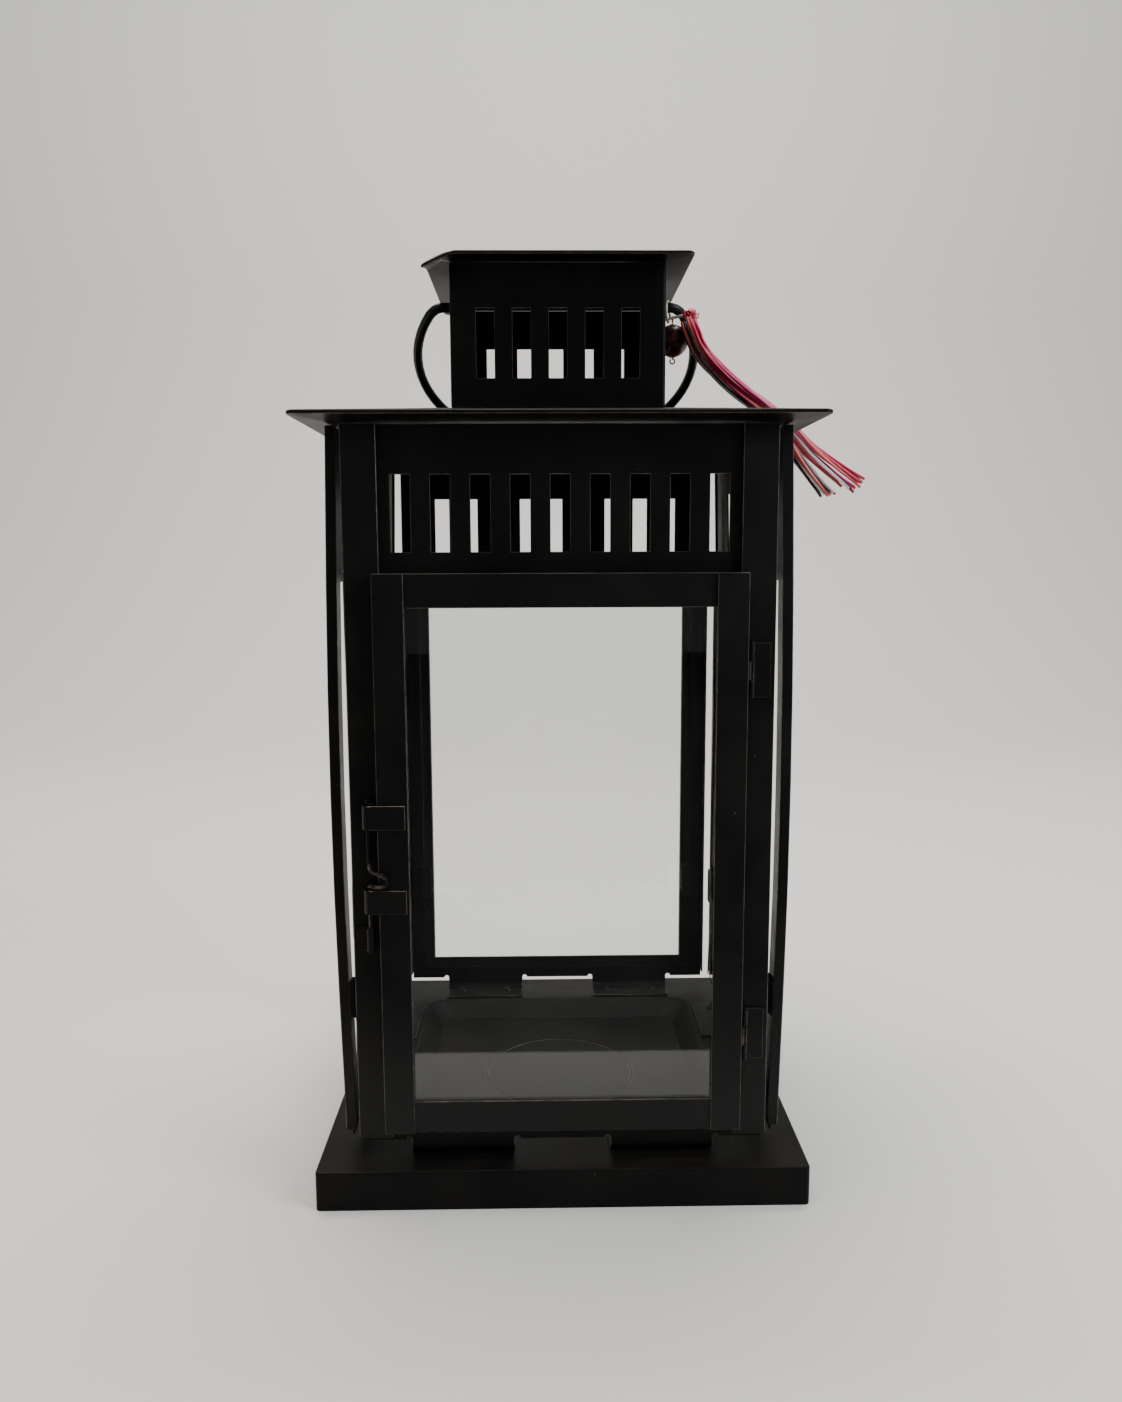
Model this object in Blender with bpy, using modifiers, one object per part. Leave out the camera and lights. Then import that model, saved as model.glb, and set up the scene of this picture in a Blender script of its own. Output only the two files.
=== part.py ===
"""Candle lantern: a sheet steel house on a pressed base, with a glazed door, a bail and a bead tassel.

Lengths are millimetres until they reach Blender, which gets metres.  +Z is up, the door faces -Y,
and the origin is on the floor under the middle of the base.
"""
import math

import bmesh
import bpy
from mathutils import Matrix, Vector

for old in list(bpy.data.objects):
    bpy.data.objects.remove(old, do_unlink=True)

MM = 0.001
GAP = 0.3                 # between pieces that touch on the real lantern

# Base: a pressed steel tray, upside down, with a sunk floor for the candle
BASE_HEIGHT = 18.5
BASE_MARGIN = 11.5        # from the posts' faces to the edge of the base
SHEET = 1.0
RECESS_DEPTH = 8.0
RECESS_SLOPE = 10.0
CANDLE_RING_RADIUS = 40.0
CANDLE_RING_BEAD = 0.9
RECESS_LIP = 1.4          # where the recess's slope turns into its floor and its rim

# Body: four separate walls that stand on the base and carry the roof
BODY_HALF = 101.0         # from the middle of the lantern to the face of a post
BODY_TOP = 350.1
BASE_HALF = BODY_HALF + BASE_MARGIN
WALL_PLANE = BODY_HALF - 3.2
WALL_BOTTOM = BASE_HEIGHT + 7.5
TAB_INNER = 22.5
TAB_OUTER = 69.7
TAB_BEND = 4.0
TAB_LENGTH = 15.5
TAB_REACH = WALL_PLANE - TAB_LENGTH
RECESS_TOP_HALF = TAB_REACH - 1.8
RECESS_FLOOR_HALF = RECESS_TOP_HALF - RECESS_SLOPE
RELIEF_RADIUS = 1.5
SIDE_BOW = 2.6            # how far the side walls bulge at half height

# Posts: channels along both upright edges of each wall
POST_OUTER = BODY_HALF - 7.4
POST_WIDTH = 15.4
POST_DEPTH = 4.8
POST_BOTTOM = WALL_BOTTOM + 2.6
POST_SHEET = 0.9

# Slots and opening in each wall
SLOT_COUNT = 9
SLOT_WIDTH = 8.5
SLOT_PITCH = 17.2
SLOT_HEIGHT = 33.0
SLOT_TOP = BODY_TOP - 21.1
SLOT_BOTTOM = SLOT_TOP - SLOT_HEIGHT
OPENING_HALF = POST_OUTER - POST_WIDTH + 0.2
OPENING_BOTTOM = WALL_BOTTOM + 14.0
OPENING_TOP = SLOT_BOTTOM - 13.0

# Panes
PANE_THICKNESS = 1.8
PANE_HALF = OPENING_HALF + 5.6
PANE_BOTTOM = OPENING_BOTTOM - 7.0
PANE_TOP = OPENING_TOP + 5.0
CLIP_SHEET = 0.5
CLIP_HEIGHT = 20.0
CLIP_BOTTOM = OPENING_BOTTOM + 40.0
CLIP_FOOT = PANE_HALF + 7.4
CLIP_LAP = 4.5            # over the edge of the glass

# Door
DOOR_HALF = OPENING_HALF + 2.6
DOOR_BOTTOM = OPENING_BOTTOM - 6.5
DOOR_TOP = OPENING_TOP + 4.0
DOOR_CLEARANCE = 0.6      # between the posts and the back of the door
STILE_WIDTH = 13.7
STILE_DEPTH = 4.9
RAIL_HEIGHT = 14.8
DOOR_SHEET = 0.8
DOOR_BACK = BODY_HALF + DOOR_CLEARANCE
DOOR_FRONT = DOOR_BACK + STILE_DEPTH

# Hinges: leaf on the post, rolled knuckles, loose pin
HINGE_LEAF_HEIGHT = 24.0
HINGE_LEAF_REACH = 8.7
HINGE_INSET_LOWER = 32.5
HINGE_INSET_UPPER = 30.5
HINGE_BOTTOMS = (DOOR_BOTTOM + HINGE_INSET_LOWER, DOOR_TOP - HINGE_INSET_UPPER - HINGE_LEAF_HEIGHT)
KNUCKLE_RADIUS = 1.1      # to the middle of the rolled sheet
HINGE_SHEET = 0.8
HINGE_PIN_RADIUS = 0.5
HINGE_PIN_HEAD = 1.2
HINGE_X = DOOR_HALF + GAP + HINGE_SHEET / 2 + KNUCKLE_RADIUS
HINGE_Y = -(BODY_HALF + GAP + HINGE_SHEET / 2 + KNUCKLE_RADIUS)

# Latch: a wire bolt in two strap guides, dropping into a barrel on the post
STRAP_HEIGHT = 10.8
STRAP_SPACING = 38.2
STRAP_SHEET = 0.7
STRAP_REACH = 12.4        # how far a strap runs onto the stile
STRAP_LOWER = DOOR_BOTTOM + 103.8
STRAP_BOTTOMS = (STRAP_LOWER, STRAP_LOWER + STRAP_SPACING)
CATCH_HEIGHT = 11.0
CATCH_WIDTH = 6.2
CATCH_BOTTOM = STRAP_LOWER - 18.3
BOLT_RADIUS = 0.9
BOLT_X = -(DOOR_HALF + 4.5)
BOLT_BOTTOM = CATCH_BOTTOM + 0.5
BOLT_TOP = STRAP_BOTTOMS[1] + STRAP_HEIGHT + 2.2
BOLT_STANDOFF = 2.5       # from the post's face to the middle of the wire
BOLT_Y = -(BODY_HALF + BOLT_STANDOFF)
BOLT_CLEARANCE = 0.5      # behind the bolt, inside a strap's loop
STRAP_FACE = DOOR_FRONT + GAP + STRAP_SHEET / 2
STRAP_LOOP = (STRAP_FACE + BOLT_Y + BOLT_RADIUS + BOLT_CLEARANCE + STRAP_SHEET / 2) / 2

# Roof
EAVE_OVERHANG = 12.5
ROOF_HALF = BODY_HALF + EAVE_OVERHANG
EAVE_HEIGHT = 1.7
ROOF_RISE = 9.2
ROOF_SHEET = 1.0
ROOF_PAN_HALF = WALL_PLANE - 2.3
ROOF_PAN_DROP = 2.1
EAVE_BOTTOM = BODY_TOP + GAP + ROOF_PAN_DROP
EAVE_TOP = EAVE_BOTTOM + EAVE_HEIGHT
ROOF_TOP = EAVE_TOP + ROOF_RISE
ROOF_COLLAR_HEIGHT = 5.5

# Chimney and cap
CHIMNEY_HALF = 50.2
CHIMNEY_HEIGHT = 64.6
CHIMNEY_FOOT = ROOF_TOP + GAP
CHIMNEY_TOP = CHIMNEY_FOOT + CHIMNEY_HEIGHT
COLLAR_HALF = CHIMNEY_HALF - SHEET - GAP
VENT_COUNT = 5
VENT_WIDTH = 8.5
VENT_PITCH = 16.9
VENT_BOTTOM = 12.9        # above the chimney's foot
VENT_HEIGHT = 31.5
CAP_HALF = CHIMNEY_HALF + 11.8
CAP_RISE = 8.2
CAP_EAVE = 1.5
CAP_BENT_ALONG_FRONT = 15.0
CAP_BENT_ALONG_SIDE = 30.0
CAP_BENT_DROP = 6.4

# Bail
BAIL_RADIUS = 2.5
BAIL_PIVOT_DROP = 9.0     # from the chimney's top to the pivot
BAIL_HEIGHT = CHIMNEY_TOP - BAIL_PIVOT_DROP
BAIL_ARC = 66.6
BAIL_ARC_ALONG = 39.1     # from the pivot to the arcs' centres
BAIL_ARC_START = 5.0      # from the pivot to where an arc starts
BAIL_SIDE = CHIMNEY_HALF + 14.5
BAIL_BOSS = 7.3           # straight length outside the chimney
BAIL_CORNER = 11.2        # where the boss and the arc would meet if they weren't rounded
BAIL_STUB = 4.0           # inside the chimney
BAIL_HOLE_CLEARANCE = 0.4

# Tassel, hung on the bail's right boss.  "Out" is from the chimney's face, "drop" from the bail's axis
SPLIT_RING_RADIUS = 5.35
SPLIT_RING_WIRE = 0.65
SPLIT_RING_OUT = 6.5
SPLIT_RING_DROP = 2.0
SPLIT_RING_TURN = -15.0
KNOT_RADIUS = 3.3
KNOT_OUT = 18.4
KNOT_FORWARD = 4.6
KNOT_DROP = 4.4
LINK_WIRE = 0.5
LINK_HALF_WIDTH = 1.5
LINK_OUT = 4.2
LINK_BACK = 0.3
BEAD_RADIUS = 8.0
BEAD_DROP = 16.4
BEAD_ALONG = 0.41         # share of the link's length
EYE_WIRE = 0.4
EYE_RADIUS = 1.35
FOOT_EYE_RADIUS = 1.2
STRAND_RADIUS = 1.2
STRAND_STEP = 2.75        # between the middles of neighbouring strands
BUNDLE_TWIST = 40.0       # degrees, from the knot to the strands' ends
SPREAD_FROM = 14          # the point of the route from which the strands part
SPREAD_POWER = 1.3

BLACK = (0.012, 0.012, 0.012)

objects = bpy.data.collections.new("candle_lantern")
bpy.context.scene.collection.children.link(objects)
cutters = bpy.data.collections.new("cutters")
bpy.context.scene.collection.children.link(cutters)


def material(name, colour, roughness=0.45, metallic=0.0, transmission=0.0):
    made = bpy.data.materials.new(name)
    made.use_nodes = True
    shader = made.node_tree.nodes["Principled BSDF"]
    shader.inputs["Base Color"].default_value = (*colour, 1.0)
    shader.inputs["Roughness"].default_value = roughness
    shader.inputs["Metallic"].default_value = metallic
    shader.inputs["Transmission Weight"].default_value = transmission
    return made


def place(obj, colour, roughness=0.45, metallic=0.0, transmission=0.0, parent=None):
    """Give a piece its own material and, if it moves, the empty on its joint's axis as parent."""
    objects.objects.link(obj)
    obj.data.materials.append(material(obj.name, colour, roughness, metallic, transmission))
    if parent is not None:
        obj.parent = parent
        obj.matrix_parent_inverse = parent.matrix_world.inverted()
    return obj


def painted(obj, parent=None):
    return place(obj, BLACK, 0.42, 0.0, 0.0, parent)


def pivot(name, at, parent=None):
    """An empty on a joint's axis."""
    empty = bpy.data.objects.new(name, None)
    empty.location = Vector(at) * MM
    objects.objects.link(empty)
    bpy.context.view_layer.update()
    if parent is not None:
        world = empty.matrix_world.copy()
        empty.parent = parent
        empty.matrix_parent_inverse = parent.matrix_world.inverted()
        empty.matrix_world = world
        bpy.context.view_layer.update()
    return empty


def mesh_object(name, bm):
    bmesh.ops.scale(bm, vec=(MM, MM, MM), verts=bm.verts)
    bmesh.ops.recalc_face_normals(bm, faces=bm.faces)
    mesh = bpy.data.meshes.new(name)
    bm.to_mesh(mesh)
    bm.free()
    return bpy.data.objects.new(name, mesh)


def bevel(obj, width, segments=2, angle=40.0):
    mod = obj.modifiers.new("soft edges", "BEVEL")
    mod.width = width * MM
    mod.segments = segments
    mod.limit_method = "ANGLE"
    mod.angle_limit = math.radians(angle)
    return obj


def solidify(obj, thickness, sharp_bends=True):
    mod = obj.modifiers.new("sheet", "SOLIDIFY")
    mod.thickness = thickness * MM
    mod.offset = 0.0
    mod.use_even_offset = sharp_bends
    return obj


def combine(obj, other, operation):
    """Boolean with a hidden helper object."""
    cutters.objects.link(other)
    other.hide_render = True
    other.display_type = "WIRE"
    mod = obj.modifiers.new(operation.lower(), "BOOLEAN")
    mod.operation = operation
    mod.object = other
    mod.solver = "EXACT"
    return obj


def add_box(bm, low, high):
    """Add a box between two corners to bm."""
    low, high = Vector(low), Vector(high)
    size = high - low
    shape = Matrix.Translation((low + high) / 2) @ Matrix.Diagonal((*size, 1.0))
    bmesh.ops.create_cube(bm, size=1.0, matrix=shape)


def box(name, low, high):
    bm = bmesh.new()
    add_box(bm, low, high)
    return mesh_object(name, bm)


def square_lathe(name, profile, closed=False, corner_steps=4):
    """Carry (half width, height, corner radius) points round a square with rounded corners."""
    bm = bmesh.new()
    rings = []
    for half, height, radius in profile:
        ring = []
        for quarter in range(4):
            turn = Matrix.Rotation(math.radians(90 * quarter), 3, "Z")
            for step in range(corner_steps + 1):
                angle = math.radians(90 * step / corner_steps)
                centre = half - radius
                x = centre + radius * math.cos(angle)
                y = centre + radius * math.sin(angle)
                ring.append(bm.verts.new(turn @ Vector((x, y, height))))
        rings.append(ring)
    pairs = list(zip(rings, rings[1:]))
    if closed:
        pairs.append((rings[-1], rings[0]))
    else:
        bm.faces.new(rings[0])
        bm.faces.new(rings[-1])
    for lower, upper in pairs:
        for i in range(len(lower)):
            j = (i + 1) % len(lower)
            bm.faces.new((lower[i], lower[j], upper[j], upper[i]))
    return mesh_object(name, bm)


def arc(centre, radius, start, end, steps):
    """Points on an arc, angles in degrees."""
    points = []
    for step in range(steps + 1):
        angle = math.radians(start + (end - start) * step / steps)
        points.append((centre[0] + radius * math.cos(angle), centre[1] + radius * math.sin(angle)))
    return points


def bent_strip(name, path, low, high, thickness, along="Z", cuts=0):
    """A sheet that follows path and runs straight along an axis.  Path is (x, y), or (y, z) along X."""
    bm = bmesh.new()
    steps = [low + (high - low) * i / (cuts + 1) for i in range(cuts + 2)]
    rows = []
    for at in steps:
        if along == "Z":
            rows.append([bm.verts.new((a, b, at)) for a, b in path])
        else:
            rows.append([bm.verts.new((at, a, b)) for a, b in path])
    for first, second in zip(rows, rows[1:]):
        for i in range(len(path) - 1):
            bm.faces.new((first[i], first[i + 1], second[i + 1], second[i]))
    return solidify(mesh_object(name, bm), thickness)


def wire(name, points, radius, closed=False, resolution=2):
    """A round wire through points."""
    curve = bpy.data.curves.new(name, "CURVE")
    curve.dimensions = "3D"
    curve.bevel_depth = radius * MM
    curve.bevel_resolution = resolution
    curve.use_fill_caps = True
    spline = curve.splines.new("POLY")
    spline.points.add(len(points) - 1)
    for point, at in zip(spline.points, points):
        point.co = (at[0] * MM, at[1] * MM, at[2] * MM, 1.0)
    spline.use_cyclic_u = closed
    return bpy.data.objects.new(name, curve)


def side_bow(height):
    """Outward bulge of a side wall at a height above the floor."""
    share = (height - POST_BOTTOM) / (BODY_TOP - POST_BOTTOM)
    return SIDE_BOW * math.sin(math.pi * min(max(share, 0.0), 1.0))


def bow_outward(obj):
    """Bulge a piece of a side wall.  In the wall's own frame outward is -Y."""
    for vertex in obj.data.vertices:
        vertex.co.y -= side_bow(vertex.co.z / MM) * MM


# ---- base ----------------------------------------------------------------------------------------

def make_base():
    under = BASE_HEIGHT - SHEET
    floor = BASE_HEIGHT - RECESS_DEPTH
    tray = square_lathe("base_tray", [
        (RECESS_FLOOR_HALF - RECESS_LIP, floor - SHEET, 8.0),
        (RECESS_FLOOR_HALF + SHEET, floor - SHEET, 9.0),
        (RECESS_TOP_HALF + SHEET, under - RECESS_LIP, 12.0),
        (RECESS_TOP_HALF + SHEET + RECESS_LIP, under, 13.0),
        (BASE_HALF - SHEET, under, 1.2),
        (BASE_HALF - SHEET, 0.0, 1.2),
        (BASE_HALF, 0.0, 2.2),
        (BASE_HALF, BASE_HEIGHT - 0.9, 2.2),
        (BASE_HALF - 0.25, BASE_HEIGHT - 0.25, 2.1),
        (BASE_HALF - 0.9, BASE_HEIGHT, 1.8),
        (RECESS_TOP_HALF + 0.6, BASE_HEIGHT, 12.0),
        (RECESS_TOP_HALF - 0.4, BASE_HEIGHT - 0.5, 11.5),
        (RECESS_FLOOR_HALF + 0.5, floor + 0.6, 8.5),
        (RECESS_FLOOR_HALF - 0.8, floor, 8.0),
    ])
    bpy.ops.mesh.primitive_torus_add(
        major_segments=64, minor_segments=10,
        major_radius=CANDLE_RING_RADIUS * MM, minor_radius=CANDLE_RING_BEAD * MM,
        location=(0.0, 0.0, (floor - 0.25) * MM))
    ring = bpy.context.object
    ring.name = "candle_ring_cutter"
    for home in list(ring.users_collection):
        home.objects.unlink(ring)
    combine(tray, ring, "UNION")
    painted(tray)


# ---- walls ---------------------------------------------------------------------------------------

SIDES = {"front": 0.0, "right": 90.0, "rear": 180.0, "left": 270.0}


def wall_outline():
    """Flat pattern of one wall, seen from outside, with its two tabs unrolled."""
    half = POST_OUTER - POST_SHEET - GAP
    bend_top = BASE_HEIGHT + GAP + SHEET / 2 + TAB_BEND
    flat = WALL_PLANE - TAB_BEND - TAB_REACH
    tab_end = bend_top - TAB_BEND * math.pi / 2 - flat
    points = [(-half, BODY_TOP), (-half, WALL_BOTTOM)]
    for left, right in ((-TAB_OUTER, -TAB_INNER), (TAB_INNER, TAB_OUTER)):
        points += arc((left - RELIEF_RADIUS, WALL_BOTTOM), RELIEF_RADIUS, 180, 0, 6)
        points += [(left, tab_end), (right, tab_end)]
        points += arc((right + RELIEF_RADIUS, WALL_BOTTOM), RELIEF_RADIUS, 180, 0, 6)
    points += [(half, WALL_BOTTOM), (half, BODY_TOP)]
    return points, bend_top


def rectangle(left, right, bottom, top):
    return [(left, bottom), (right, bottom), (right, top), (left, top)]


def make_wall(side, turn):
    outline, bend_top = wall_outline()
    loops = [outline, rectangle(-OPENING_HALF, OPENING_HALF, OPENING_BOTTOM, OPENING_TOP)]
    for i in range(SLOT_COUNT):
        middle = (i - (SLOT_COUNT - 1) / 2) * SLOT_PITCH
        loops.append(rectangle(middle - SLOT_WIDTH / 2, middle + SLOT_WIDTH / 2, SLOT_BOTTOM, SLOT_TOP))
    pattern = bpy.data.curves.new("wall_pattern", "CURVE")
    pattern.dimensions = "2D"
    pattern.fill_mode = "BOTH"
    for loop in loops:
        spline = pattern.splines.new("POLY")
        spline.points.add(len(loop) - 1)
        for point, at in zip(spline.points, loop):
            point.co = (at[0], at[1], 0.0, 1.0)
        spline.use_cyclic_u = True
    flat = bpy.data.objects.new("wall_pattern", pattern)
    cutters.objects.link(flat)
    bpy.context.view_layer.update()
    mesh = bpy.data.meshes.new_from_object(flat.evaluated_get(bpy.context.evaluated_depsgraph_get()))
    bpy.data.objects.remove(flat, do_unlink=True)

    bm = bmesh.new()
    bm.from_mesh(mesh)
    bpy.data.meshes.remove(mesh)
    bmesh.ops.remove_doubles(bm, verts=bm.verts, dist=0.01)
    bmesh.ops.rotate(bm, verts=bm.verts, matrix=Matrix.Rotation(math.radians(90), 3, "X"))
    roll = TAB_BEND * math.pi / 2
    heights = [bend_top - roll * i / 5 for i in range(6)]
    if side in ("left", "right"):
        heights += [WALL_BOTTOM + (BODY_TOP - WALL_BOTTOM) * i / 14 for i in range(1, 14)]
    for height in heights:
        everything = bm.verts[:] + bm.edges[:] + bm.faces[:]
        bmesh.ops.bisect_plane(bm, geom=everything, dist=0.001, plane_co=(0, 0, height), plane_no=(0, 0, 1))
    bmesh.ops.dissolve_degenerate(bm, dist=0.01, edges=bm.edges)
    for vertex in bm.verts:
        run = bend_top - vertex.co.z
        inward = 0.0
        if run > roll:
            inward = TAB_BEND + run - roll
            vertex.co.z = bend_top - TAB_BEND
        elif run > 0.0:
            inward = TAB_BEND * (1.0 - math.cos(run / TAB_BEND))
            vertex.co.z = bend_top - TAB_BEND * math.sin(run / TAB_BEND)
        vertex.co.y = -WALL_PLANE + inward
    wall = solidify(mesh_object("wall_" + side, bm), SHEET, sharp_bends=False)
    if side in ("left", "right"):
        bow_outward(wall)
    wall.rotation_euler.z = math.radians(turn)
    painted(wall)


def make_posts(side, turn):
    """The two channels along a wall's upright edges."""
    web = BODY_HALF - POST_SHEET / 2
    back = BODY_HALF - POST_DEPTH
    sheet_face = WALL_PLANE + SHEET / 2 + GAP
    outer = POST_OUTER - POST_SHEET / 2
    inner = POST_OUTER - POST_WIDTH + POST_SHEET / 2
    bowed = side in ("left", "right")
    ends = {"front": ("left", "right"), "right": ("front", "rear"),
            "rear": ("right", "left"), "left": ("rear", "front")}[side]
    for end, hand in zip(ends, (-1, 1)):
        path = [(hand * outer, -back), (hand * outer, -web), (hand * inner, -web),
                (hand * inner, -sheet_face)]
        post = bent_strip("post_%s_%s" % (side, end), path, POST_BOTTOM, BODY_TOP, POST_SHEET,
                          cuts=13 if bowed else 0)
        if bowed:
            bow_outward(post)
        bevel(post, 0.35)
        post.rotation_euler.z = math.radians(turn)
        painted(post)


def make_pane(side, turn):
    """Fixed glass inside a wall, with the two clips that keep it there."""
    outside = WALL_PLANE - SHEET / 2 - GAP
    inside = outside - PANE_THICKNESS
    pane = box("glass_" + side, (-PANE_HALF, -outside, PANE_BOTTOM), (PANE_HALF, -inside, PANE_TOP))
    pane.rotation_euler.z = math.radians(turn)
    place(pane, (0.9, 0.95, 0.93), 0.02, 0.0, 1.0)
    foot = WALL_PLANE - SHEET / 2 - GAP - CLIP_SHEET / 2
    if side in ("left", "right"):
        foot += side_bow(CLIP_BOTTOM)
    over = inside - GAP - CLIP_SHEET / 2
    for hand, letter in ((-1, "a"), (1, "b")):
        step = hand * (PANE_HALF + 1.3)
        path = [(hand * CLIP_FOOT, -foot), (step, -foot), (step, -over),
                (hand * (PANE_HALF - CLIP_LAP), -over)]
        clip = bent_strip("pane_clip_%s_%s" % (side, letter), path,
                          CLIP_BOTTOM, CLIP_BOTTOM + CLIP_HEIGHT, CLIP_SHEET)
        clip.rotation_euler.z = math.radians(turn)
        painted(clip)


# ---- door ----------------------------------------------------------------------------------------

def make_door(hinge):
    web = DOOR_FRONT - DOOR_SHEET / 2
    lip = DOOR_HALF - DOOR_SHEET / 2
    for hand, name in ((-1, "door_stile_left"), (1, "door_stile_right")):
        path = [(hand * (DOOR_HALF - STILE_WIDTH), -web), (hand * lip, -web), (hand * lip, -DOOR_BACK)]
        stile = bent_strip(name, path, DOOR_BOTTOM, DOOR_TOP, DOOR_SHEET)
        painted(bevel(stile, 0.3), hinge)

    rail_web = DOOR_FRONT - DOOR_SHEET - GAP - DOOR_SHEET / 2
    rail_half = DOOR_HALF - DOOR_SHEET - GAP
    edges = (("door_rail_bottom", DOOR_BOTTOM, 1), ("door_rail_top", DOOR_TOP, -1))
    for name, edge, inward in edges:
        outer = edge + inward * DOOR_SHEET / 2
        path = [(-DOOR_BACK, outer), (-rail_web, outer), (-rail_web, edge + inward * RAIL_HEIGHT)]
        rail = bent_strip(name, path, -rail_half, rail_half, DOOR_SHEET, along="X")
        painted(bevel(rail, 0.3), hinge)

    glass_front = rail_web - DOOR_SHEET / 2 - GAP
    glass_back = glass_front - PANE_THICKNESS
    glass_half = rail_half - 1.6
    glass = box("door_glass", (-glass_half, -glass_front, DOOR_BOTTOM + 1.6),
                (glass_half, -glass_back, DOOR_TOP - 1.6))
    place(glass, (0.9, 0.95, 0.93), 0.02, 0.0, 1.0, hinge)

    for hand, letter in ((-1, "a"), (1, "b")):
        leg = hand * (rail_half - CLIP_SHEET / 2)
        over = glass_back - GAP - CLIP_SHEET / 2
        path = [(leg, -glass_front), (leg, -over), (hand * (glass_half - CLIP_LAP), -over)]
        clip = bent_strip("door_clip_" + letter, path, CLIP_BOTTOM, CLIP_BOTTOM + CLIP_HEIGHT, CLIP_SHEET)
        painted(clip, hinge)


def make_hinges(hinge):
    third = HINGE_LEAF_HEIGHT / 3
    for bottom, place_name in zip(HINGE_BOTTOMS, ("lower", "upper")):
        axis = (HINGE_X, HINGE_Y)
        top = bottom + HINGE_LEAF_HEIGHT
        path = [(HINGE_X + HINGE_LEAF_REACH, HINGE_Y + KNUCKLE_RADIUS)]
        path += arc(axis, KNUCKLE_RADIUS, 90, 340, 12)
        leaf = bent_strip("hinge_leaf_post_" + place_name, path, bottom, top, HINGE_SHEET)
        reach = KNUCKLE_RADIUS + HINGE_SHEET
        notch = box("hinge_notch_" + place_name,
                    (HINGE_X - reach, HINGE_Y - reach, bottom + third - GAP),
                    (HINGE_X + reach, HINGE_Y + reach, bottom + 2 * third + GAP))
        painted(combine(leaf, notch, "DIFFERENCE"))

        path = [(HINGE_X - KNUCKLE_RADIUS, -DOOR_FRONT + 0.6)]
        path += arc(axis, KNUCKLE_RADIUS, 180, -70, 12)
        leaf = bent_strip("hinge_leaf_door_" + place_name, path, bottom + third, top - third, HINGE_SHEET)
        painted(leaf, hinge)

        bm = bmesh.new()
        shank = Matrix.Translation((HINGE_X, HINGE_Y, bottom + HINGE_LEAF_HEIGHT / 2))
        bmesh.ops.create_cone(bm, cap_ends=True, segments=16, radius1=HINGE_PIN_RADIUS,
                              radius2=HINGE_PIN_RADIUS, depth=HINGE_LEAF_HEIGHT + 2 * GAP, matrix=shank)
        pin = mesh_object("hinge_pin_" + place_name, bm)
        bm = bmesh.new()
        above = Matrix.Translation((HINGE_X, HINGE_Y, top + GAP + 0.25))
        bmesh.ops.create_cone(bm, cap_ends=True, segments=16, radius1=HINGE_PIN_HEAD,
                              radius2=HINGE_PIN_HEAD, depth=0.5, matrix=above)
        head = mesh_object("hinge_pin_head_" + place_name, bm)
        place(combine(pin, head, "UNION"), BLACK, 0.35, 0.6)


# ---- latch ---------------------------------------------------------------------------------------

def make_latch(hinge, slide):
    centre = (BOLT_X + 0.7, STRAP_LOOP - STRAP_FACE)
    for bottom, name in zip(STRAP_BOTTOMS, ("latch_strap_lower", "latch_strap_upper")):
        path = [(-DOOR_HALF + STRAP_REACH, -STRAP_FACE)] + arc(centre, STRAP_LOOP, 270, 20, 16)
        strap = bent_strip(name, path, bottom, bottom + STRAP_HEIGHT, STRAP_SHEET)
        painted(bevel(strap, 0.2, 1), hinge)

    rest = STRAP_BOTTOMS[0] + STRAP_HEIGHT
    grip_y = -(DOOR_FRONT + BOLT_RADIUS + 1.0)
    bolt = wire("latch_bolt", [
        (BOLT_X, BOLT_Y, BOLT_BOTTOM),
        (BOLT_X, BOLT_Y, rest + 0.6),
        (BOLT_X + 0.3, BOLT_Y - 0.7, rest + 1.3),
        (BOLT_X + 1.3, BOLT_Y - 2.4, rest + 1.7),
        (BOLT_X + 3.4, grip_y + 0.6, rest + 1.8),
        (BOLT_X + 5.6, grip_y, rest + 1.9),
        (BOLT_X + 7.3, grip_y, rest + 2.5),
        (BOLT_X + 8.2, grip_y, rest + 4.0),
        (BOLT_X + 7.9, grip_y, rest + 5.9),
        (BOLT_X + 6.5, grip_y, rest + 7.2),
        (BOLT_X + 4.6, grip_y + 0.2, rest + 7.7),
        (BOLT_X + 2.6, grip_y + 1.4, rest + 8.0),
        (BOLT_X + 1.0, BOLT_Y - 1.9, rest + 8.8),
        (BOLT_X + 0.2, BOLT_Y - 0.5, rest + 10.2),
        (BOLT_X, BOLT_Y, rest + 11.8),
        (BOLT_X, BOLT_Y, BOLT_TOP),
    ], BOLT_RADIUS)
    place(bolt, (0.02, 0.02, 0.02), 0.3, 0.5, 0.0, slide)

    roll = BOLT_RADIUS + 0.2 + STRAP_SHEET / 2
    plate = -(BODY_HALF + GAP + STRAP_SHEET / 2)
    path = [(BOLT_X - CATCH_WIDTH, plate), (BOLT_X - roll - 0.6, plate)]
    path += arc((BOLT_X, BOLT_Y), roll, 100, 430, 18)
    catch = bent_strip("latch_catch", path, CATCH_BOTTOM, CATCH_BOTTOM + CATCH_HEIGHT, STRAP_SHEET)
    painted(catch)


# ---- roof, chimney and cap -----------------------------------------------------------------------

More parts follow.
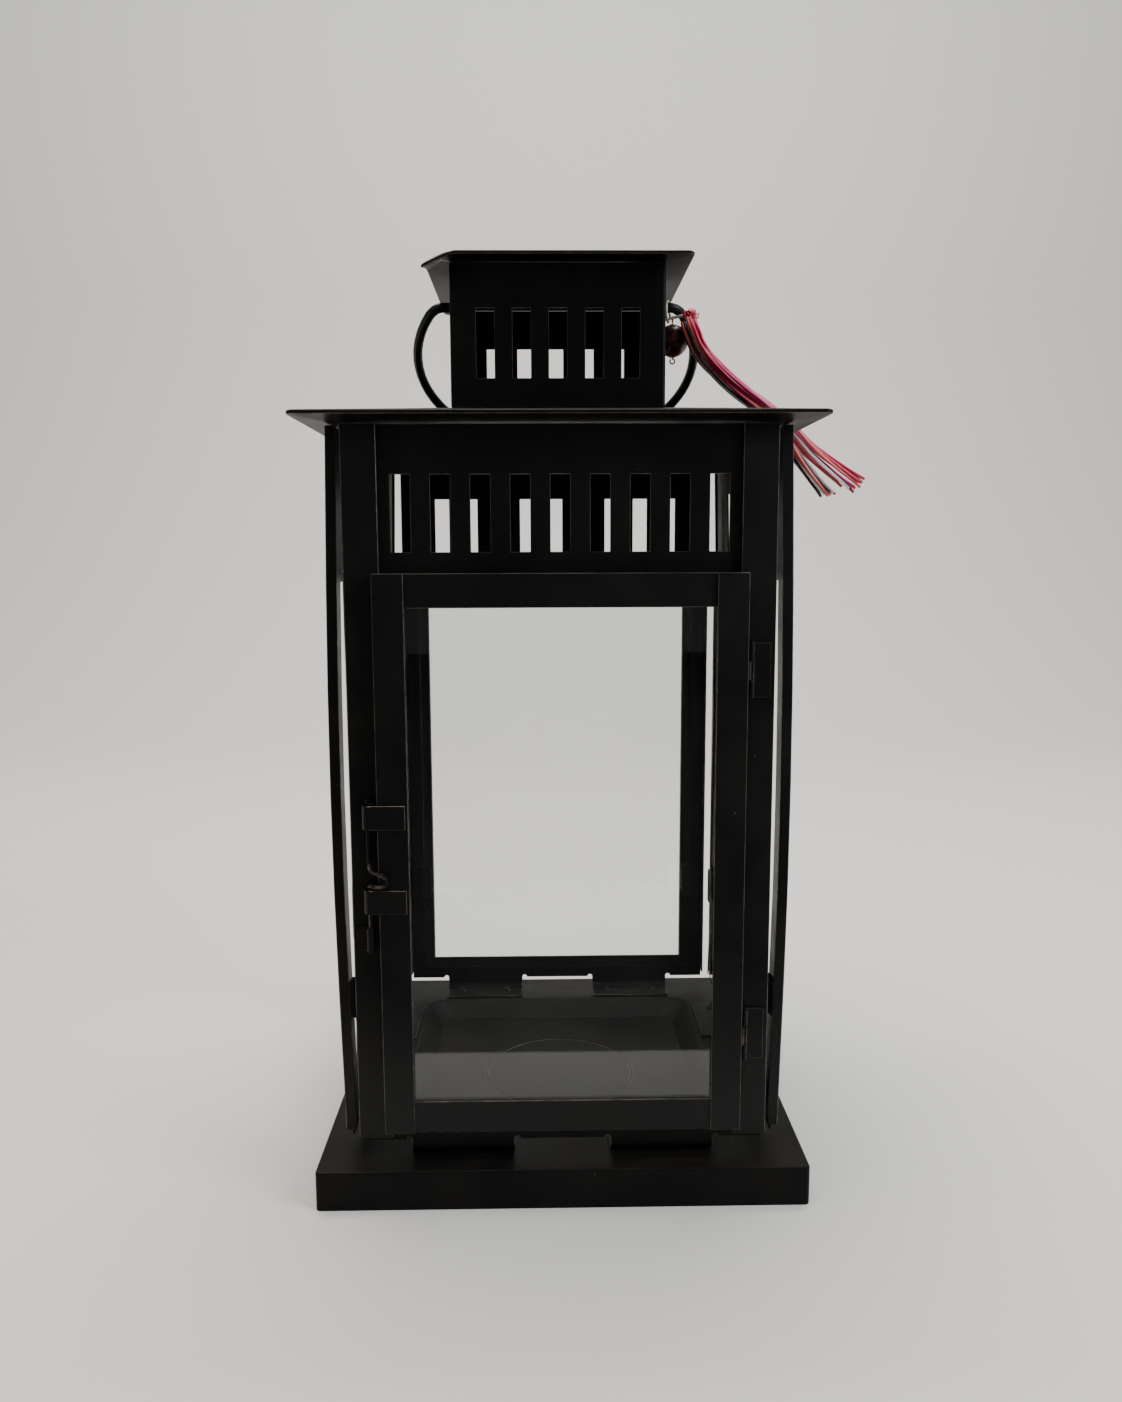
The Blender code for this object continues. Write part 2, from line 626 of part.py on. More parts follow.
def make_roof():
    inner = COLLAR_HALF - ROOF_SHEET
    roof = square_lathe("roof", [
        (ROOF_HALF, EAVE_BOTTOM, 4.0),
        (ROOF_HALF, EAVE_TOP - 0.4, 4.0),
        (ROOF_HALF - 0.4, EAVE_TOP, 4.0),
        (COLLAR_HALF, ROOF_TOP, 1.5),
        (COLLAR_HALF, ROOF_TOP + ROOF_COLLAR_HEIGHT, 1.5),
        (inner, ROOF_TOP + ROOF_COLLAR_HEIGHT, 0.8),
        (inner, ROOF_TOP - ROOF_SHEET, 0.8),
        (ROOF_HALF - 3.0, EAVE_TOP - 0.6, 3.0),
        (ROOF_PAN_HALF, EAVE_BOTTOM - ROOF_PAN_DROP + ROOF_SHEET, 1.5),
        (ROOF_PAN_HALF, EAVE_BOTTOM - ROOF_PAN_DROP, 1.5),
        (ROOF_HALF - 0.4, EAVE_BOTTOM - 0.1, 4.0),
    ], closed=True)
    painted(roof)


def make_chimney():
    inner = CHIMNEY_HALF - SHEET
    chimney = square_lathe("chimney", [
        (CHIMNEY_HALF, CHIMNEY_FOOT, 1.6),
        (CHIMNEY_HALF, CHIMNEY_TOP, 1.6),
        (inner, CHIMNEY_TOP, 0.6),
        (inner, CHIMNEY_FOOT, 0.6),
    ], closed=True)
    low = CHIMNEY_FOOT + VENT_BOTTOM
    high = low + VENT_HEIGHT
    reach = CHIMNEY_HALF + 5.0
    front = bmesh.new()
    side = bmesh.new()
    for i in range(VENT_COUNT):
        middle = (i - (VENT_COUNT - 1) / 2) * VENT_PITCH
        left, right = middle - VENT_WIDTH / 2, middle + VENT_WIDTH / 2
        add_box(front, (left, -reach, low), (right, reach, high))
        add_box(side, (-reach, left, low), (reach, right, high))
    combine(chimney, mesh_object("front_vents", front), "DIFFERENCE")
    combine(chimney, mesh_object("side_vents", side), "DIFFERENCE")
    bm = bmesh.new()
    across = Matrix.Translation((0, 0, BAIL_HEIGHT)) @ Matrix.Rotation(math.radians(90), 4, "Y")
    hole = BAIL_RADIUS + BAIL_HOLE_CLEARANCE
    bmesh.ops.create_cone(bm, cap_ends=True, segments=24, radius1=hole, radius2=hole,
                          depth=2 * reach, matrix=across)
    combine(chimney, mesh_object("bail_holes", bm), "DIFFERENCE")
    painted(chimney)


def make_cap():
    bottom = CHIMNEY_TOP + GAP
    rim_bottom = bottom + 0.5
    rim_top = rim_bottom + CAP_EAVE
    peak = rim_top + CAP_RISE
    inner = CHIMNEY_HALF - 2.0
    cap = square_lathe("cap", [
        (1.5, peak, 0.4),
        (CAP_HALF / 2, rim_top + CAP_RISE * 0.5, 2.0),
        (CAP_HALF - 0.4, rim_top, 3.0),
        (CAP_HALF, rim_top - 0.4, 3.0),
        (CAP_HALF, rim_bottom, 3.0),
        (CAP_HALF - 0.4, rim_bottom - 0.1, 3.0),
        (inner, bottom, 1.0),
        (inner, bottom + SHEET, 1.0),
        (CAP_HALF - 3.0, rim_top - 0.8, 2.0),
        (CAP_HALF / 2, rim_top + CAP_RISE * 0.5 - SHEET, 2.0),
        (1.5, peak - SHEET, 0.4),
    ])
    bm = bmesh.new()
    bm.from_mesh(cap.data)
    for i in range(1, 6):
        for axis, span in (((1, 0, 0), CAP_BENT_ALONG_FRONT), ((0, 1, 0), CAP_BENT_ALONG_SIDE)):
            at = Vector(axis) * (span * i / 5 - CAP_HALF) * MM
            everything = bm.verts[:] + bm.edges[:] + bm.faces[:]
            bmesh.ops.bisect_plane(bm, geom=everything, dist=1e-6, plane_co=at, plane_no=axis)
    for vertex in bm.verts:
        along_front = (CAP_HALF + vertex.co.x / MM) / CAP_BENT_ALONG_FRONT
        along_side = (CAP_HALF + vertex.co.y / MM) / CAP_BENT_ALONG_SIDE
        share = max(0.0, 1.0 - along_front - along_side)
        vertex.co.z -= CAP_BENT_DROP * share ** 1.3 * MM
    bm.to_mesh(cap.data)
    bm.free()
    painted(cap)


# ---- bail ----------------------------------------------------------------------------------------

def bail_outline():
    """The bail's middle line, as (across, along) from its pivot, left end to right end."""
    drop = BAIL_ARC_ALONG - BAIL_ARC_START
    shift = BAIL_SIDE - math.sqrt(BAIL_ARC ** 2 - drop ** 2)
    angle = -math.degrees(math.asin(drop / BAIL_ARC))
    right = arc((shift, BAIL_ARC_ALONG), BAIL_ARC, 90, angle, 22)
    side = Vector(right[-1])
    corner = Vector((CHIMNEY_HALF + BAIL_CORNER, 0.0))
    boss = Vector((CHIMNEY_HALF + BAIL_BOSS, 0.0))
    for step in range(1, 6):
        share = step / 5
        right.append(tuple(side.lerp(corner, share).lerp(corner.lerp(boss, share), share)))
    right.append((CHIMNEY_HALF - SHEET - BAIL_STUB, 0.0))
    left = [(-across, along) for across, along in reversed(right)]
    return left + right


def bail_rest_angle():
    """How far below level the bail lies when its end rests on the rear slope of the roof."""
    reach = BAIL_ARC_ALONG + BAIL_ARC
    slope = ROOF_RISE / (ROOF_HALF - COLLAR_HALF)
    lift = (BAIL_RADIUS + GAP) * math.sqrt(1 + slope * slope)
    angle = 0.5
    for _ in range(30):
        back = reach * math.cos(angle)
        roof = EAVE_TOP + (ROOF_HALF - back) * slope
        angle = math.asin((BAIL_HEIGHT - roof - lift) / reach)
    return angle


def make_bail(swing):
    rest = bail_rest_angle()
    points = []
    for across, along in bail_outline():
        points.append((across, along * math.cos(rest), BAIL_HEIGHT - along * math.sin(rest)))
    bail = wire("bail_handle", points, BAIL_RADIUS, resolution=4)
    place(bail, BLACK, 0.4, 0.0, 0.0, swing)


# ---- tassel --------------------------------------------------------------------------------------

KNOT = Vector((CHIMNEY_HALF + KNOT_OUT, -KNOT_FORWARD, BAIL_HEIGHT - KNOT_DROP))

# The middle of the bundle, from the knot down beside the roof's right slope and past its eave
ROUTE = [
    (66.4, -6.5, 409.3), (67.3, -8.6, 405.8), (68.7, -9.9, 402.3), (70.1, -10.4, 398.7),
    (72.3, -10.3, 395.3), (75.0, -9.7, 391.9), (78.3, -9.2, 388.5), (81.9, -8.5, 385.2),
    (85.8, -7.6, 381.9), (89.9, -6.7, 378.7), (94.3, -5.7, 375.6), (98.9, -4.6, 372.6),
    (103.6, -3.5, 369.6), (108.2, -2.4, 366.3), (112.6, -1.4, 362.8), (116.4, -0.5, 359.3),
    (119.8, 0.3, 355.8), (123.0, 0.9, 351.8), (126.4, 1.3, 347.8), (130.4, 1.6, 344.0),
    (134.8, 1.8, 340.2), (139.4, 1.9, 336.5), (144.3, 2.0, 332.9),
]

# Each strand: colour, place in the bundle (across, up), how far its end lies from the route's (x, y, z)
CRIMSON = (0.45, 0.006, 0.03)
PINK = (0.75, 0.10, 0.22)
WHITE = (0.75, 0.72, 0.68)
INK = (0.015, 0.013, 0.015)
CORAL = (0.72, 0.10, 0.07)
STRANDS = [
    (CRIMSON, (-1.0, -1.0), (-2.1, -3.5, -7.7)),
    (WHITE, (0.0, -1.0), (9.0, -2.6, -3.6)),
    (CRIMSON, (1.0, -1.0), (14.9, 0.4, 0.8)),
    (INK, (-1.0, 0.0), (-6.1, -1.6, -6.9)),
    (PINK, (0.0, 0.0), (-0.3, 0.0, -6.4)),
    (CRIMSON, (1.0, 0.0), (11.4, 0.6, -4.6)),
    (CORAL, (0.0, -2.0), (13.6, -2.6, -2.0)),
    (WHITE, (0.0, 1.0), (-4.0, 1.9, -5.6)),
    (CRIMSON, (1.0, 1.0), (6.2, 4.2, -1.6)),
]


def strand_points(place_in_bundle, end):
    """One strand's own route: beside the middle of the bundle, which turns as it goes, then apart."""
    points = []
    last = len(ROUTE) - 1
    for i, middle in enumerate(ROUTE):
        before, after = ROUTE[max(i - 1, 0)], ROUTE[min(i + 1, last)]
        ahead = (Vector(after) - Vector(before)).normalized()
        sideways = ahead.cross(Vector((0.0, 1.0, 0.0))).normalized()
        upward = sideways.cross(ahead)
        twist = Matrix.Rotation(math.radians(BUNDLE_TWIST * i / last), 2)
        across, up = twist @ Vector(place_in_bundle)
        apart = max(0.0, (i - SPREAD_FROM) / (last - SPREAD_FROM)) ** SPREAD_POWER
        beside = (sideways * across + upward * up) * STRAND_STEP
        points.append(Vector(middle) + beside * (1.0 - apart) + Vector(end) * apart)
    return points


def make_tassel():
    ring_at = Vector((CHIMNEY_HALF + SPLIT_RING_OUT, 0.0, BAIL_HEIGHT - SPLIT_RING_DROP))
    turn = Matrix.Rotation(math.radians(SPLIT_RING_TURN), 3, "Z")
    points = []
    for across, up in arc((0.0, 0.0), SPLIT_RING_RADIUS, 0, 345, 23):
        points.append(ring_at + turn @ Vector((0.0, across, up)))
    ring = wire("tassel_split_ring", points, SPLIT_RING_WIRE, closed=True)
    place(ring, (0.75, 0.70, 0.58), 0.2, 1.0)

    ring_foot = ring_at.z - SPLIT_RING_RADIUS + SPLIT_RING_WIRE
    link_start = Vector((CHIMNEY_HALF + LINK_OUT, LINK_BACK, ring_foot + LINK_WIRE + GAP))
    link_end = KNOT + Vector((-(KNOT_RADIUS + LINK_WIRE + GAP), 0.6, -0.2))
    run = link_end - link_start
    ahead = run.normalized()
    flat = run.cross(Vector((0.0, 1.0, 0.0))).normalized()
    beside = flat.cross(ahead) * LINK_HALF_WIDTH
    straight = run.length - 2 * LINK_HALF_WIDTH
    points = []
    for step in range(28):
        angle = 2 * math.pi * (step + 0.5) / 28
        end = math.copysign(straight / 2, math.cos(angle)) + LINK_HALF_WIDTH * math.cos(angle)
        points.append(link_start + run / 2 + ahead * end + beside * math.sin(angle))
    link = wire("tassel_link", points, LINK_WIRE, closed=True)
    place(link, (0.62, 0.60, 0.56), 0.25, 1.0)

    hung_on = link_start + run * BEAD_ALONG + beside
    bead_at = Vector((hung_on.x, hung_on.y, BAIL_HEIGHT - BEAD_DROP))
    bm = bmesh.new()
    bmesh.ops.create_uvsphere(bm, u_segments=28, v_segments=18, radius=BEAD_RADIUS,
                              matrix=Matrix.Translation(bead_at))
    bead = mesh_object("tassel_bead", bm)
    bm = bmesh.new()
    hole = EYE_WIRE + GAP
    bmesh.ops.create_cone(bm, cap_ends=True, segments=12, radius1=hole, radius2=hole,
                          depth=3 * BEAD_RADIUS, matrix=Matrix.Translation(bead_at))
    combine(bead, mesh_object("bead_hole", bm), "DIFFERENCE")
    place(bead, (0.10, 0.008, 0.012), 0.12)

    eye_top = hung_on.z - EYE_RADIUS + LINK_WIRE + EYE_WIRE + 0.1
    foot = bead_at.z - BEAD_RADIUS - 0.5
    points = []
    for across, up in arc((0.0, eye_top), EYE_RADIUS, 240, -60, 14):
        points.append((bead_at.x, bead_at.y + across, up))
    points.append((bead_at.x, bead_at.y, eye_top - EYE_RADIUS - 0.9))
    points.append((bead_at.x, bead_at.y, foot))
    for across, up in arc((0.0, foot - EYE_WIRE - FOOT_EYE_RADIUS), FOOT_EYE_RADIUS, 80, -235, 14):
        points.append((bead_at.x + across, bead_at.y, up))
    eyes = wire("tassel_bead_wire", points, EYE_WIRE)
    place(eyes, (0.40, 0.28, 0.12), 0.3, 1.0)

    bm = bmesh.new()
    bmesh.ops.create_uvsphere(bm, u_segments=20, v_segments=14, radius=KNOT_RADIUS,
                              matrix=Matrix.Translation(KNOT))
    place(mesh_object("tassel_knot", bm), CRIMSON, 0.35)

    for number, (colour, place_in_bundle, end) in enumerate(STRANDS, start=1):
        strand = wire("tassel_strand_%d" % number, strand_points(place_in_bundle, end), STRAND_RADIUS)
        place(strand, colour, 0.3)


make_base()
for side_name, side_turn in SIDES.items():
    make_wall(side_name, side_turn)
    make_posts(side_name, side_turn)
    if side_name != "front":
        make_pane(side_name, side_turn)
door_hinge = pivot("door_hinge", (HINGE_X, HINGE_Y, (DOOR_BOTTOM + DOOR_TOP) / 2))
bolt_slide = pivot("bolt_slide", (BOLT_X, BOLT_Y, BOLT_BOTTOM), door_hinge)
make_door(door_hinge)
make_hinges(door_hinge)
make_latch(door_hinge, bolt_slide)
make_roof()
make_chimney()
make_cap()
bail_swing = pivot("bail_swing", (0.0, 0.0, BAIL_HEIGHT))
make_bail(bail_swing)
make_tassel()
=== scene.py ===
"""Candle lantern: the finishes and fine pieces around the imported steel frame.

Lengths are metres in the lantern's own frame: +Z is up, the door faces -Y, and the origin is on the
floor under the middle of the base.
"""

import math

import bmesh
import bpy
from mathutils import Matrix, Vector


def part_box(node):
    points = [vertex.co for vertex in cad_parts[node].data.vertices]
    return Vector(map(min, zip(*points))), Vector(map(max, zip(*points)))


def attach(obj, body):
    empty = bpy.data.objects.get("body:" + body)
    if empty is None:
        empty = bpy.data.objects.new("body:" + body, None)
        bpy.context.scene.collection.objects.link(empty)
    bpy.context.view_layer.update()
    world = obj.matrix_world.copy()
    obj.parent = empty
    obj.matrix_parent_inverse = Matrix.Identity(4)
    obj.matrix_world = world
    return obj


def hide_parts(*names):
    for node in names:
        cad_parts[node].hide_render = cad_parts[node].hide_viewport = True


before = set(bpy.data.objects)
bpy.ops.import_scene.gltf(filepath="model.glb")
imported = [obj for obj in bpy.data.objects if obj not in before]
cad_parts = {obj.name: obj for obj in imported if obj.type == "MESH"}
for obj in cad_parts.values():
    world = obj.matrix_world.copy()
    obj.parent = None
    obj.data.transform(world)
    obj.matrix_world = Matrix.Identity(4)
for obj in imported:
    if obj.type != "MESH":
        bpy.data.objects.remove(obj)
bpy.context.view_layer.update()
MM = 0.001

# ---- camera --------------------------------------------------------------------------------------
# Someone sits in front of the door with their eye a little above its middle, half a metre away.
# The lens is wide, it looks slightly down, and it is a hair off level.

EYE = (-7.633 * MM, -567.35 * MM, 293.075 * MM)
LOOK_RIGHT = math.radians(0.924)
LOOK_DOWN = math.radians(7.543)
ROLL = math.radians(-0.225)
LENS = 27.615
SENSOR_WIDTH = 36.0
NEAREST_SEEN = 0.01
forward = Vector((math.sin(LOOK_RIGHT) * math.cos(LOOK_DOWN),
                  math.cos(LOOK_RIGHT) * math.cos(LOOK_DOWN), -math.sin(LOOK_DOWN)))
level_right = Vector((math.cos(LOOK_RIGHT), -math.sin(LOOK_RIGHT), 0.0))
level_up = level_right.cross(forward)
camera_right = math.cos(ROLL) * level_right + math.sin(ROLL) * level_up
camera_up = math.cos(ROLL) * level_up - math.sin(ROLL) * level_right

camera = bpy.data.objects.new("camera", bpy.data.cameras.new("camera"))
camera.data.lens = LENS
camera.data.sensor_width = SENSOR_WIDTH
camera.data.clip_start = NEAREST_SEEN
axes = Matrix((camera_right, camera_up, -forward)).transposed()
camera.matrix_world = Matrix.Translation(EYE) @ axes.to_4x4()
bpy.context.scene.collection.objects.link(camera)
bpy.context.scene.camera = camera

# ---- floor and lamps -----------------------------------------------------------------------------
# A plain pale sweep: a sheet of paper that curves up behind the lantern, with a board of the same
# tone carrying it on to the front.  The board and the room are dim where the steel and the glass
# reflect them.  A cool panel on the right edges the steel, a warm one above finds the upward edges,
# a weak one fills from the left, and one lights the paper behind.

PAPER_FRONT = -0.2515
BOARD_FRONT = -3.0
SWEEP_HALF_WIDTH = 4.0
SWEEP_BEND_AT = 1.1
SWEEP_RADIUS = 0.9
SWEEP_HEIGHT = 3.6
SWEEP_STEPS = 24
PAPER_TONE = (0.66, 0.65, 0.63, 1)
BOARD_GLARE = 0.04
ROOM_TONE = (0.80, 0.80, 0.79, 1)
ROOM_LIGHT = 0.34
ROOM_GLARE = 0.13


def matt_paper(name):
    material = bpy.data.materials.new(name)
    material.use_nodes = True
    shader = material.node_tree.nodes["Principled BSDF"]
    shader.inputs["Base Color"].default_value = PAPER_TONE
    shader.inputs["Roughness"].default_value = 0.9
    shader.inputs["Specular IOR Level"].default_value = 0.1
    return material


def dimmed_in_reflections(tree, target, plain, dim):
    """Feed a socket one value for rays seen straight or through glass, and another for reflections."""
    ray = tree.nodes.new("ShaderNodeLightPath")
    pick = tree.nodes.new("ShaderNodeMapRange")
    pick.inputs["To Min"].default_value = plain
    pick.inputs["To Max"].default_value = dim
    tree.links.new(ray.outputs["Glossy Depth"], pick.inputs["Value"])
    tree.links.new(pick.outputs["Result"], target)


def stage_sheet(name, outline, paper):
    """A sheet of the paper across the stage, along a (y, z) outline."""
    bm = bmesh.new()
    ends = (-SWEEP_HALF_WIDTH, SWEEP_HALF_WIDTH)
    rows = [[bm.verts.new((x, y, z)) for y, z in outline] for x in ends]
    for i in range(len(outline) - 1):
        bm.faces.new((rows[0][i], rows[1][i], rows[1][i + 1], rows[0][i + 1])).smooth = True
    mesh = bpy.data.meshes.new(name)
    bm.to_mesh(mesh)
    bm.free()
    mesh.materials.append(paper)
    obj = bpy.data.objects.new(name, mesh)
    bpy.context.scene.collection.objects.link(obj)


outline = [(PAPER_FRONT, 0.0), (SWEEP_BEND_AT, 0.0)]
for step in range(1, SWEEP_STEPS + 1):
    angle = math.radians(90 * step / SWEEP_STEPS)
    rise = SWEEP_RADIUS * (1 - math.cos(angle))
    outline.append((SWEEP_BEND_AT + SWEEP_RADIUS * math.sin(angle), rise))
outline.append((SWEEP_BEND_AT + SWEEP_RADIUS, SWEEP_HEIGHT))
stage_sheet("paper_sweep", outline, matt_paper("pale_paper"))
board_paper = matt_paper("pale_board")
tone = board_paper.node_tree.nodes.new("ShaderNodeHueSaturation")
tone.inputs["Color"].default_value = PAPER_TONE
board_paper.node_tree.links.new(
    tone.outputs["Color"], board_paper.node_tree.nodes["Principled BSDF"].inputs["Base Color"])
dimmed_in_reflections(board_paper.node_tree, tone.inputs["Value"], 1.0, BOARD_GLARE)
stage_sheet("front_board", [(BOARD_FRONT, 0.0), (PAPER_FRONT, 0.0)], board_paper)

# Each lamp: its name, place, size, colour, power and what it is aimed at
LAMPS = [
    ("cool_panel", (1.25, -0.70, 0.95), (0.7, 1.1), (0.82, 0.91, 1.00), 22.0, (0.0, 0.0, 0.25)),
    ("warm_panel", (-0.15, 0.1, 1.75), (1.3, 1.0), (1.00, 0.90, 0.80), 32.0, (0.0, 0.0, 0.22)),
    ("fill_panel", (-1.6, -0.9, 0.9), (1.0, 1.2), (1.00, 0.97, 0.93), 5.0, (0.0, 0.0, 0.22)),
    ("paper_panel", (0.0, 0.55, 2.3), (2.6, 0.5), (1.00, 0.99, 0.97), 46.0, (0.0, 1.9, 0.7)),
]
for name, at, size, colour, power, target in LAMPS:
    lamp = bpy.data.lights.new(name, "AREA")
    lamp.shape = "RECTANGLE"
    lamp.size, lamp.size_y = size
    lamp.color = colour
    lamp.energy = power
    holder = bpy.data.objects.new(name, lamp)
    aim = Vector(target) - Vector(at)
    holder.matrix_world = Matrix.Translation(at) @ aim.to_track_quat("-Z", "Y").to_matrix().to_4x4()
    bpy.context.scene.collection.objects.link(holder)

world = bpy.data.worlds.new("studio")
world.use_nodes = True
sky = world.node_tree.nodes["Background"]
sky.inputs["Color"].default_value = ROOM_TONE
dimmed_in_reflections(world.node_tree, sky.inputs["Strength"], ROOM_LIGHT, ROOM_GLARE)
bpy.context.scene.world = world

# ---- base ----------------------------------------------------------------------------------------
# A pressed steel tray turned upside down, with a sunk floor and a ring for the candle.  Like all the
# lantern's steel it is powder coated satin black, rubbed thin along its edges, where a painted highlight
# also lightens it, and a little dusty.


class Shader:
    """The nodes of one material, joined up by short calls."""

    def __init__(self, name):
        self.material = bpy.data.materials.new(name)
        self.material.use_nodes = True
        self.tree = self.material.node_tree
        self.surface = self.tree.nodes["Principled BSDF"]
        self.object_place = self.add("ShaderNodeTexCoord").outputs["Object"]

    def add(self, kind, inputs=None, **settings):
        node = self.tree.nodes.new(kind)
        for key, value in settings.items():
            setattr(node, key, value)
        for key, value in (inputs or {}).items():
            self.set(node.inputs[key], value)
        return node

    def set(self, socket, value):
        if isinstance(value, bpy.types.NodeSocket):
            self.tree.links.new(value, socket)
        else:
            socket.default_value = value

    def noise(self, scale, detail=2.0, distortion=0.0, place=None):
        node = self.add("ShaderNodeTexNoise", {
            "Vector": place or self.object_place, "Scale": scale,
            "Detail": detail, "Distortion": distortion})
        return node.outputs["Fac"]

    def spread(self, value, low, high, to_low=0.0, to_high=1.0):
        """Map low..high of a value onto another range, held at its ends."""
        return self.add("ShaderNodeMapRange", {
            "Value": value, "From Min": low, "From Max": high,
            "To Min": to_low, "To Max": to_high}).outputs["Result"]

    def math(self, operation, first, second):
        return self.add("ShaderNodeMath", {0: first, 1: second}, operation=operation).outputs[0]

    def mix(self, share, first, second):
        node = self.add("ShaderNodeMix", data_type="RGBA")
        self.set(node.inputs["Factor"], share)
        self.set(node.inputs[6], first)
        self.set(node.inputs[7], second)
        return node.outputs[2]

    def bump(self, height, strength, distance):
        node = self.add("ShaderNodeBump", {"Height": height, "Strength": strength, "Distance": distance})
        return node.outputs["Normal"]

    def finish(self, **inputs):
        for key, value in inputs.items():
            self.set(self.surface.inputs[key.replace("_", " ")], value)
        return self.material


POWDER_BLACK = (0.0048, 0.0048, 0.0049, 1)
SMEARED_BLACK = (0.0078, 0.0070, 0.0062, 1)
SETTLED_DUST = (0.020, 0.017, 0.013, 1)
# Pale edge colour: partly rubbed paint, partly a painted highlight where the edges catch the lamps
RUBBED_STEEL_AND_HIGHLIGHT = (0.105, 0.086, 0.074, 1)
DUST_SPECK = (0.26, 0.23, 0.19, 1)
SPECKS_PER_METRE = 210.0
PEEL_HEIGHT = 0.00005


def powder_coat(name, dust=0.5, wear_and_highlight=1.0, gloss=0.22):
    """Satin black powder coat: fine orange peel, handling smears, rubbed edges lightened as wear and
    painted highlight, dust that settles.
    """
    s = Shader(name)
    smear = s.noise(24.0, 4.0, 0.7)
    patch = s.noise(130.0, 3.0)
    # Narrow rounded edges lightened: rubbed wear and a painted highlight
    edge_wear_and_highlight = s.math("MULTIPLY", s.add("ShaderNodeAttribute", attribute_name="wear_and_highlight").outputs["Fac"],
                       s.spread(patch, 0.40, 0.62, 0.30 * wear_and_highlight, wear_and_highlight))
    shade = s.mix(s.spread(smear, 0.42, 0.70), POWDER_BLACK, SMEARED_BLACK)
    upward = s.add("ShaderNodeSeparateXYZ", {
        0: s.add("ShaderNodeTexCoord").outputs["Normal"]}).outputs["Z"]
    settled = s.math("MULTIPLY", s.spread(upward, 0.55, 0.98),
                     s.spread(smear, 0.34, 0.72, 0.08, 0.6 * dust))
    shade = s.mix(settled, shade, SETTLED_DUST)
    shade = s.mix(edge_wear_and_highlight, shade, RUBBED_STEEL_AND_HIGHLIGHT)
    cells = s.add("ShaderNodeTexVoronoi", {"Vector": s.object_place, "Scale": SPECKS_PER_METRE})
    grain = s.spread(cells.outputs["Distance"], 0.030, 0.070, 1.0, 0.0)
    rare = s.spread(s.add("ShaderNodeSeparateColor", {
        0: cells.outputs["Color"]}).outputs["Red"], 0.95 - 0.04 * dust, 0.97 - 0.04 * dust)
    specks = s.math("MULTIPLY", s.math("MULTIPLY", grain, rare), 0.6)
    shade = s.mix(specks, shade, DUST_SPECK)
    rough = s.math("ADD", s.spread(smear, 0.30, 0.72, 0.33, 0.46), s.math("MULTIPLY", settled, 0.25))
    rough = s.math("SUBTRACT", rough, s.math("MULTIPLY", edge_wear_and_highlight, 0.10))
    peel = s.bump(s.noise(700.0, 2.0), 0.03, PEEL_HEIGHT)
    return s.finish(Base_Color=shade, Roughness=rough, Metallic=s.math("MULTIPLY", edge_wear_and_highlight, 0.6),
                    Specular_IOR_Level=gloss, Normal=peel)


def new_piece(name, mesh, finish, body="lantern", stands_for=()):
    """A finished piece: its material, the body it rides on and the frame nodes it stands for."""
    obj = bpy.data.objects.new(name, mesh)
    bpy.context.scene.collection.objects.link(obj)
    mesh.materials.clear()
    mesh.materials.append(finish)
    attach(obj, body)
    if stands_for:
        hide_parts(*stands_for)
    return obj


def merged(node):
    """A frame node's mesh with its corners joined and its flat faces whole."""
    bm = bmesh.new()
    bm.from_mesh(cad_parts[node].data)
    bmesh.ops.remove_doubles(bm, verts=bm.verts, dist=0.002 * MM)
    bmesh.ops.dissolve_limit(bm, angle_limit=math.radians(0.4), verts=bm.verts, edges=bm.edges)
    return bm


SHARP_EDGE = math.radians(50.0)
SHADING_EDGE = math.radians(27.0)
WIDEST_ROUND = 0.5 * MM
SHORTEST_ROUND = 0.9 * MM


def dressed(node, finish, body="lantern", edge=0.24):
    """The same piece with every sharp edge softened by a round of `edge` mm, marked for rubbed wear and
    a painted highlight.
    """
    bm = merged(node)
    edges = [e for e in bm.edges if e.is_manifold and e.calc_face_angle(0.0) > SHARP_EDGE]
    if edge and edges:
        bmesh.ops.bevel(bm, geom=edges, offset=edge * MM, offset_type="OFFSET", segments=2,
                        profile=0.5, affect="EDGES", clamp_overlap=True)
    # Narrow rounded faces carry the edge mark: rubbed wear and a painted highlight
    wear_and_highlight = bm.faces.layers.float.new("wear_and_highlight")
    for face in bm.faces:
        face.smooth = True
        longest = max(e.calc_length() for e in face.edges)
        if longest > SHORTEST_ROUND and face.calc_area() < WIDEST_ROUND * longest:
            face[wear_and_highlight] = 1.0
    mesh = bpy.data.meshes.new(node + "_steel")
    bm.to_mesh(mesh)
    bm.free()
    mesh.set_sharp_from_angle(angle=SHADING_EDGE)
    holder = bpy.data.objects.new(node + "_holder", mesh)
    bpy.context.scene.collection.objects.link(holder)
    holder.modifiers.new("even_shading", "WEIGHTED_NORMAL").keep_sharp = True
    graph = bpy.context.evaluated_depsgraph_get()
    shaded = bpy.data.meshes.new_from_object(
        holder.evaluated_get(graph), preserve_all_data_layers=True, depsgraph=graph)
    bpy.data.objects.remove(holder)
    bpy.data.meshes.remove(mesh)
    shaded.name = node + "_sheet"
    return new_piece(node + "_finished", shaded, finish, body, (node,))


tray_paint = powder_coat("powder_coat_base", dust=0.5, gloss=0.07)
dressed("base_tray", tray_paint)

# ---- walls ---------------------------------------------------------------------------------------
# Four punched sheet walls.  Each stands on two bent tabs, fixed to the base by two tubular rivets.

wall_paint = powder_coat("powder_coat_walls", dust=0.35, gloss=0.14)
SIDES = ("front", "right", "rear", "left")
for side in SIDES:
    dressed("wall_" + side, wall_paint)

# ---- rivets --------------------------------------------------------------------------------------
# Sixteen tubular steel rivets, four along each side, clench the walls' tabs to the base.  Each has a
# rolled rim round a sunk shank, and was painted over with the rest.


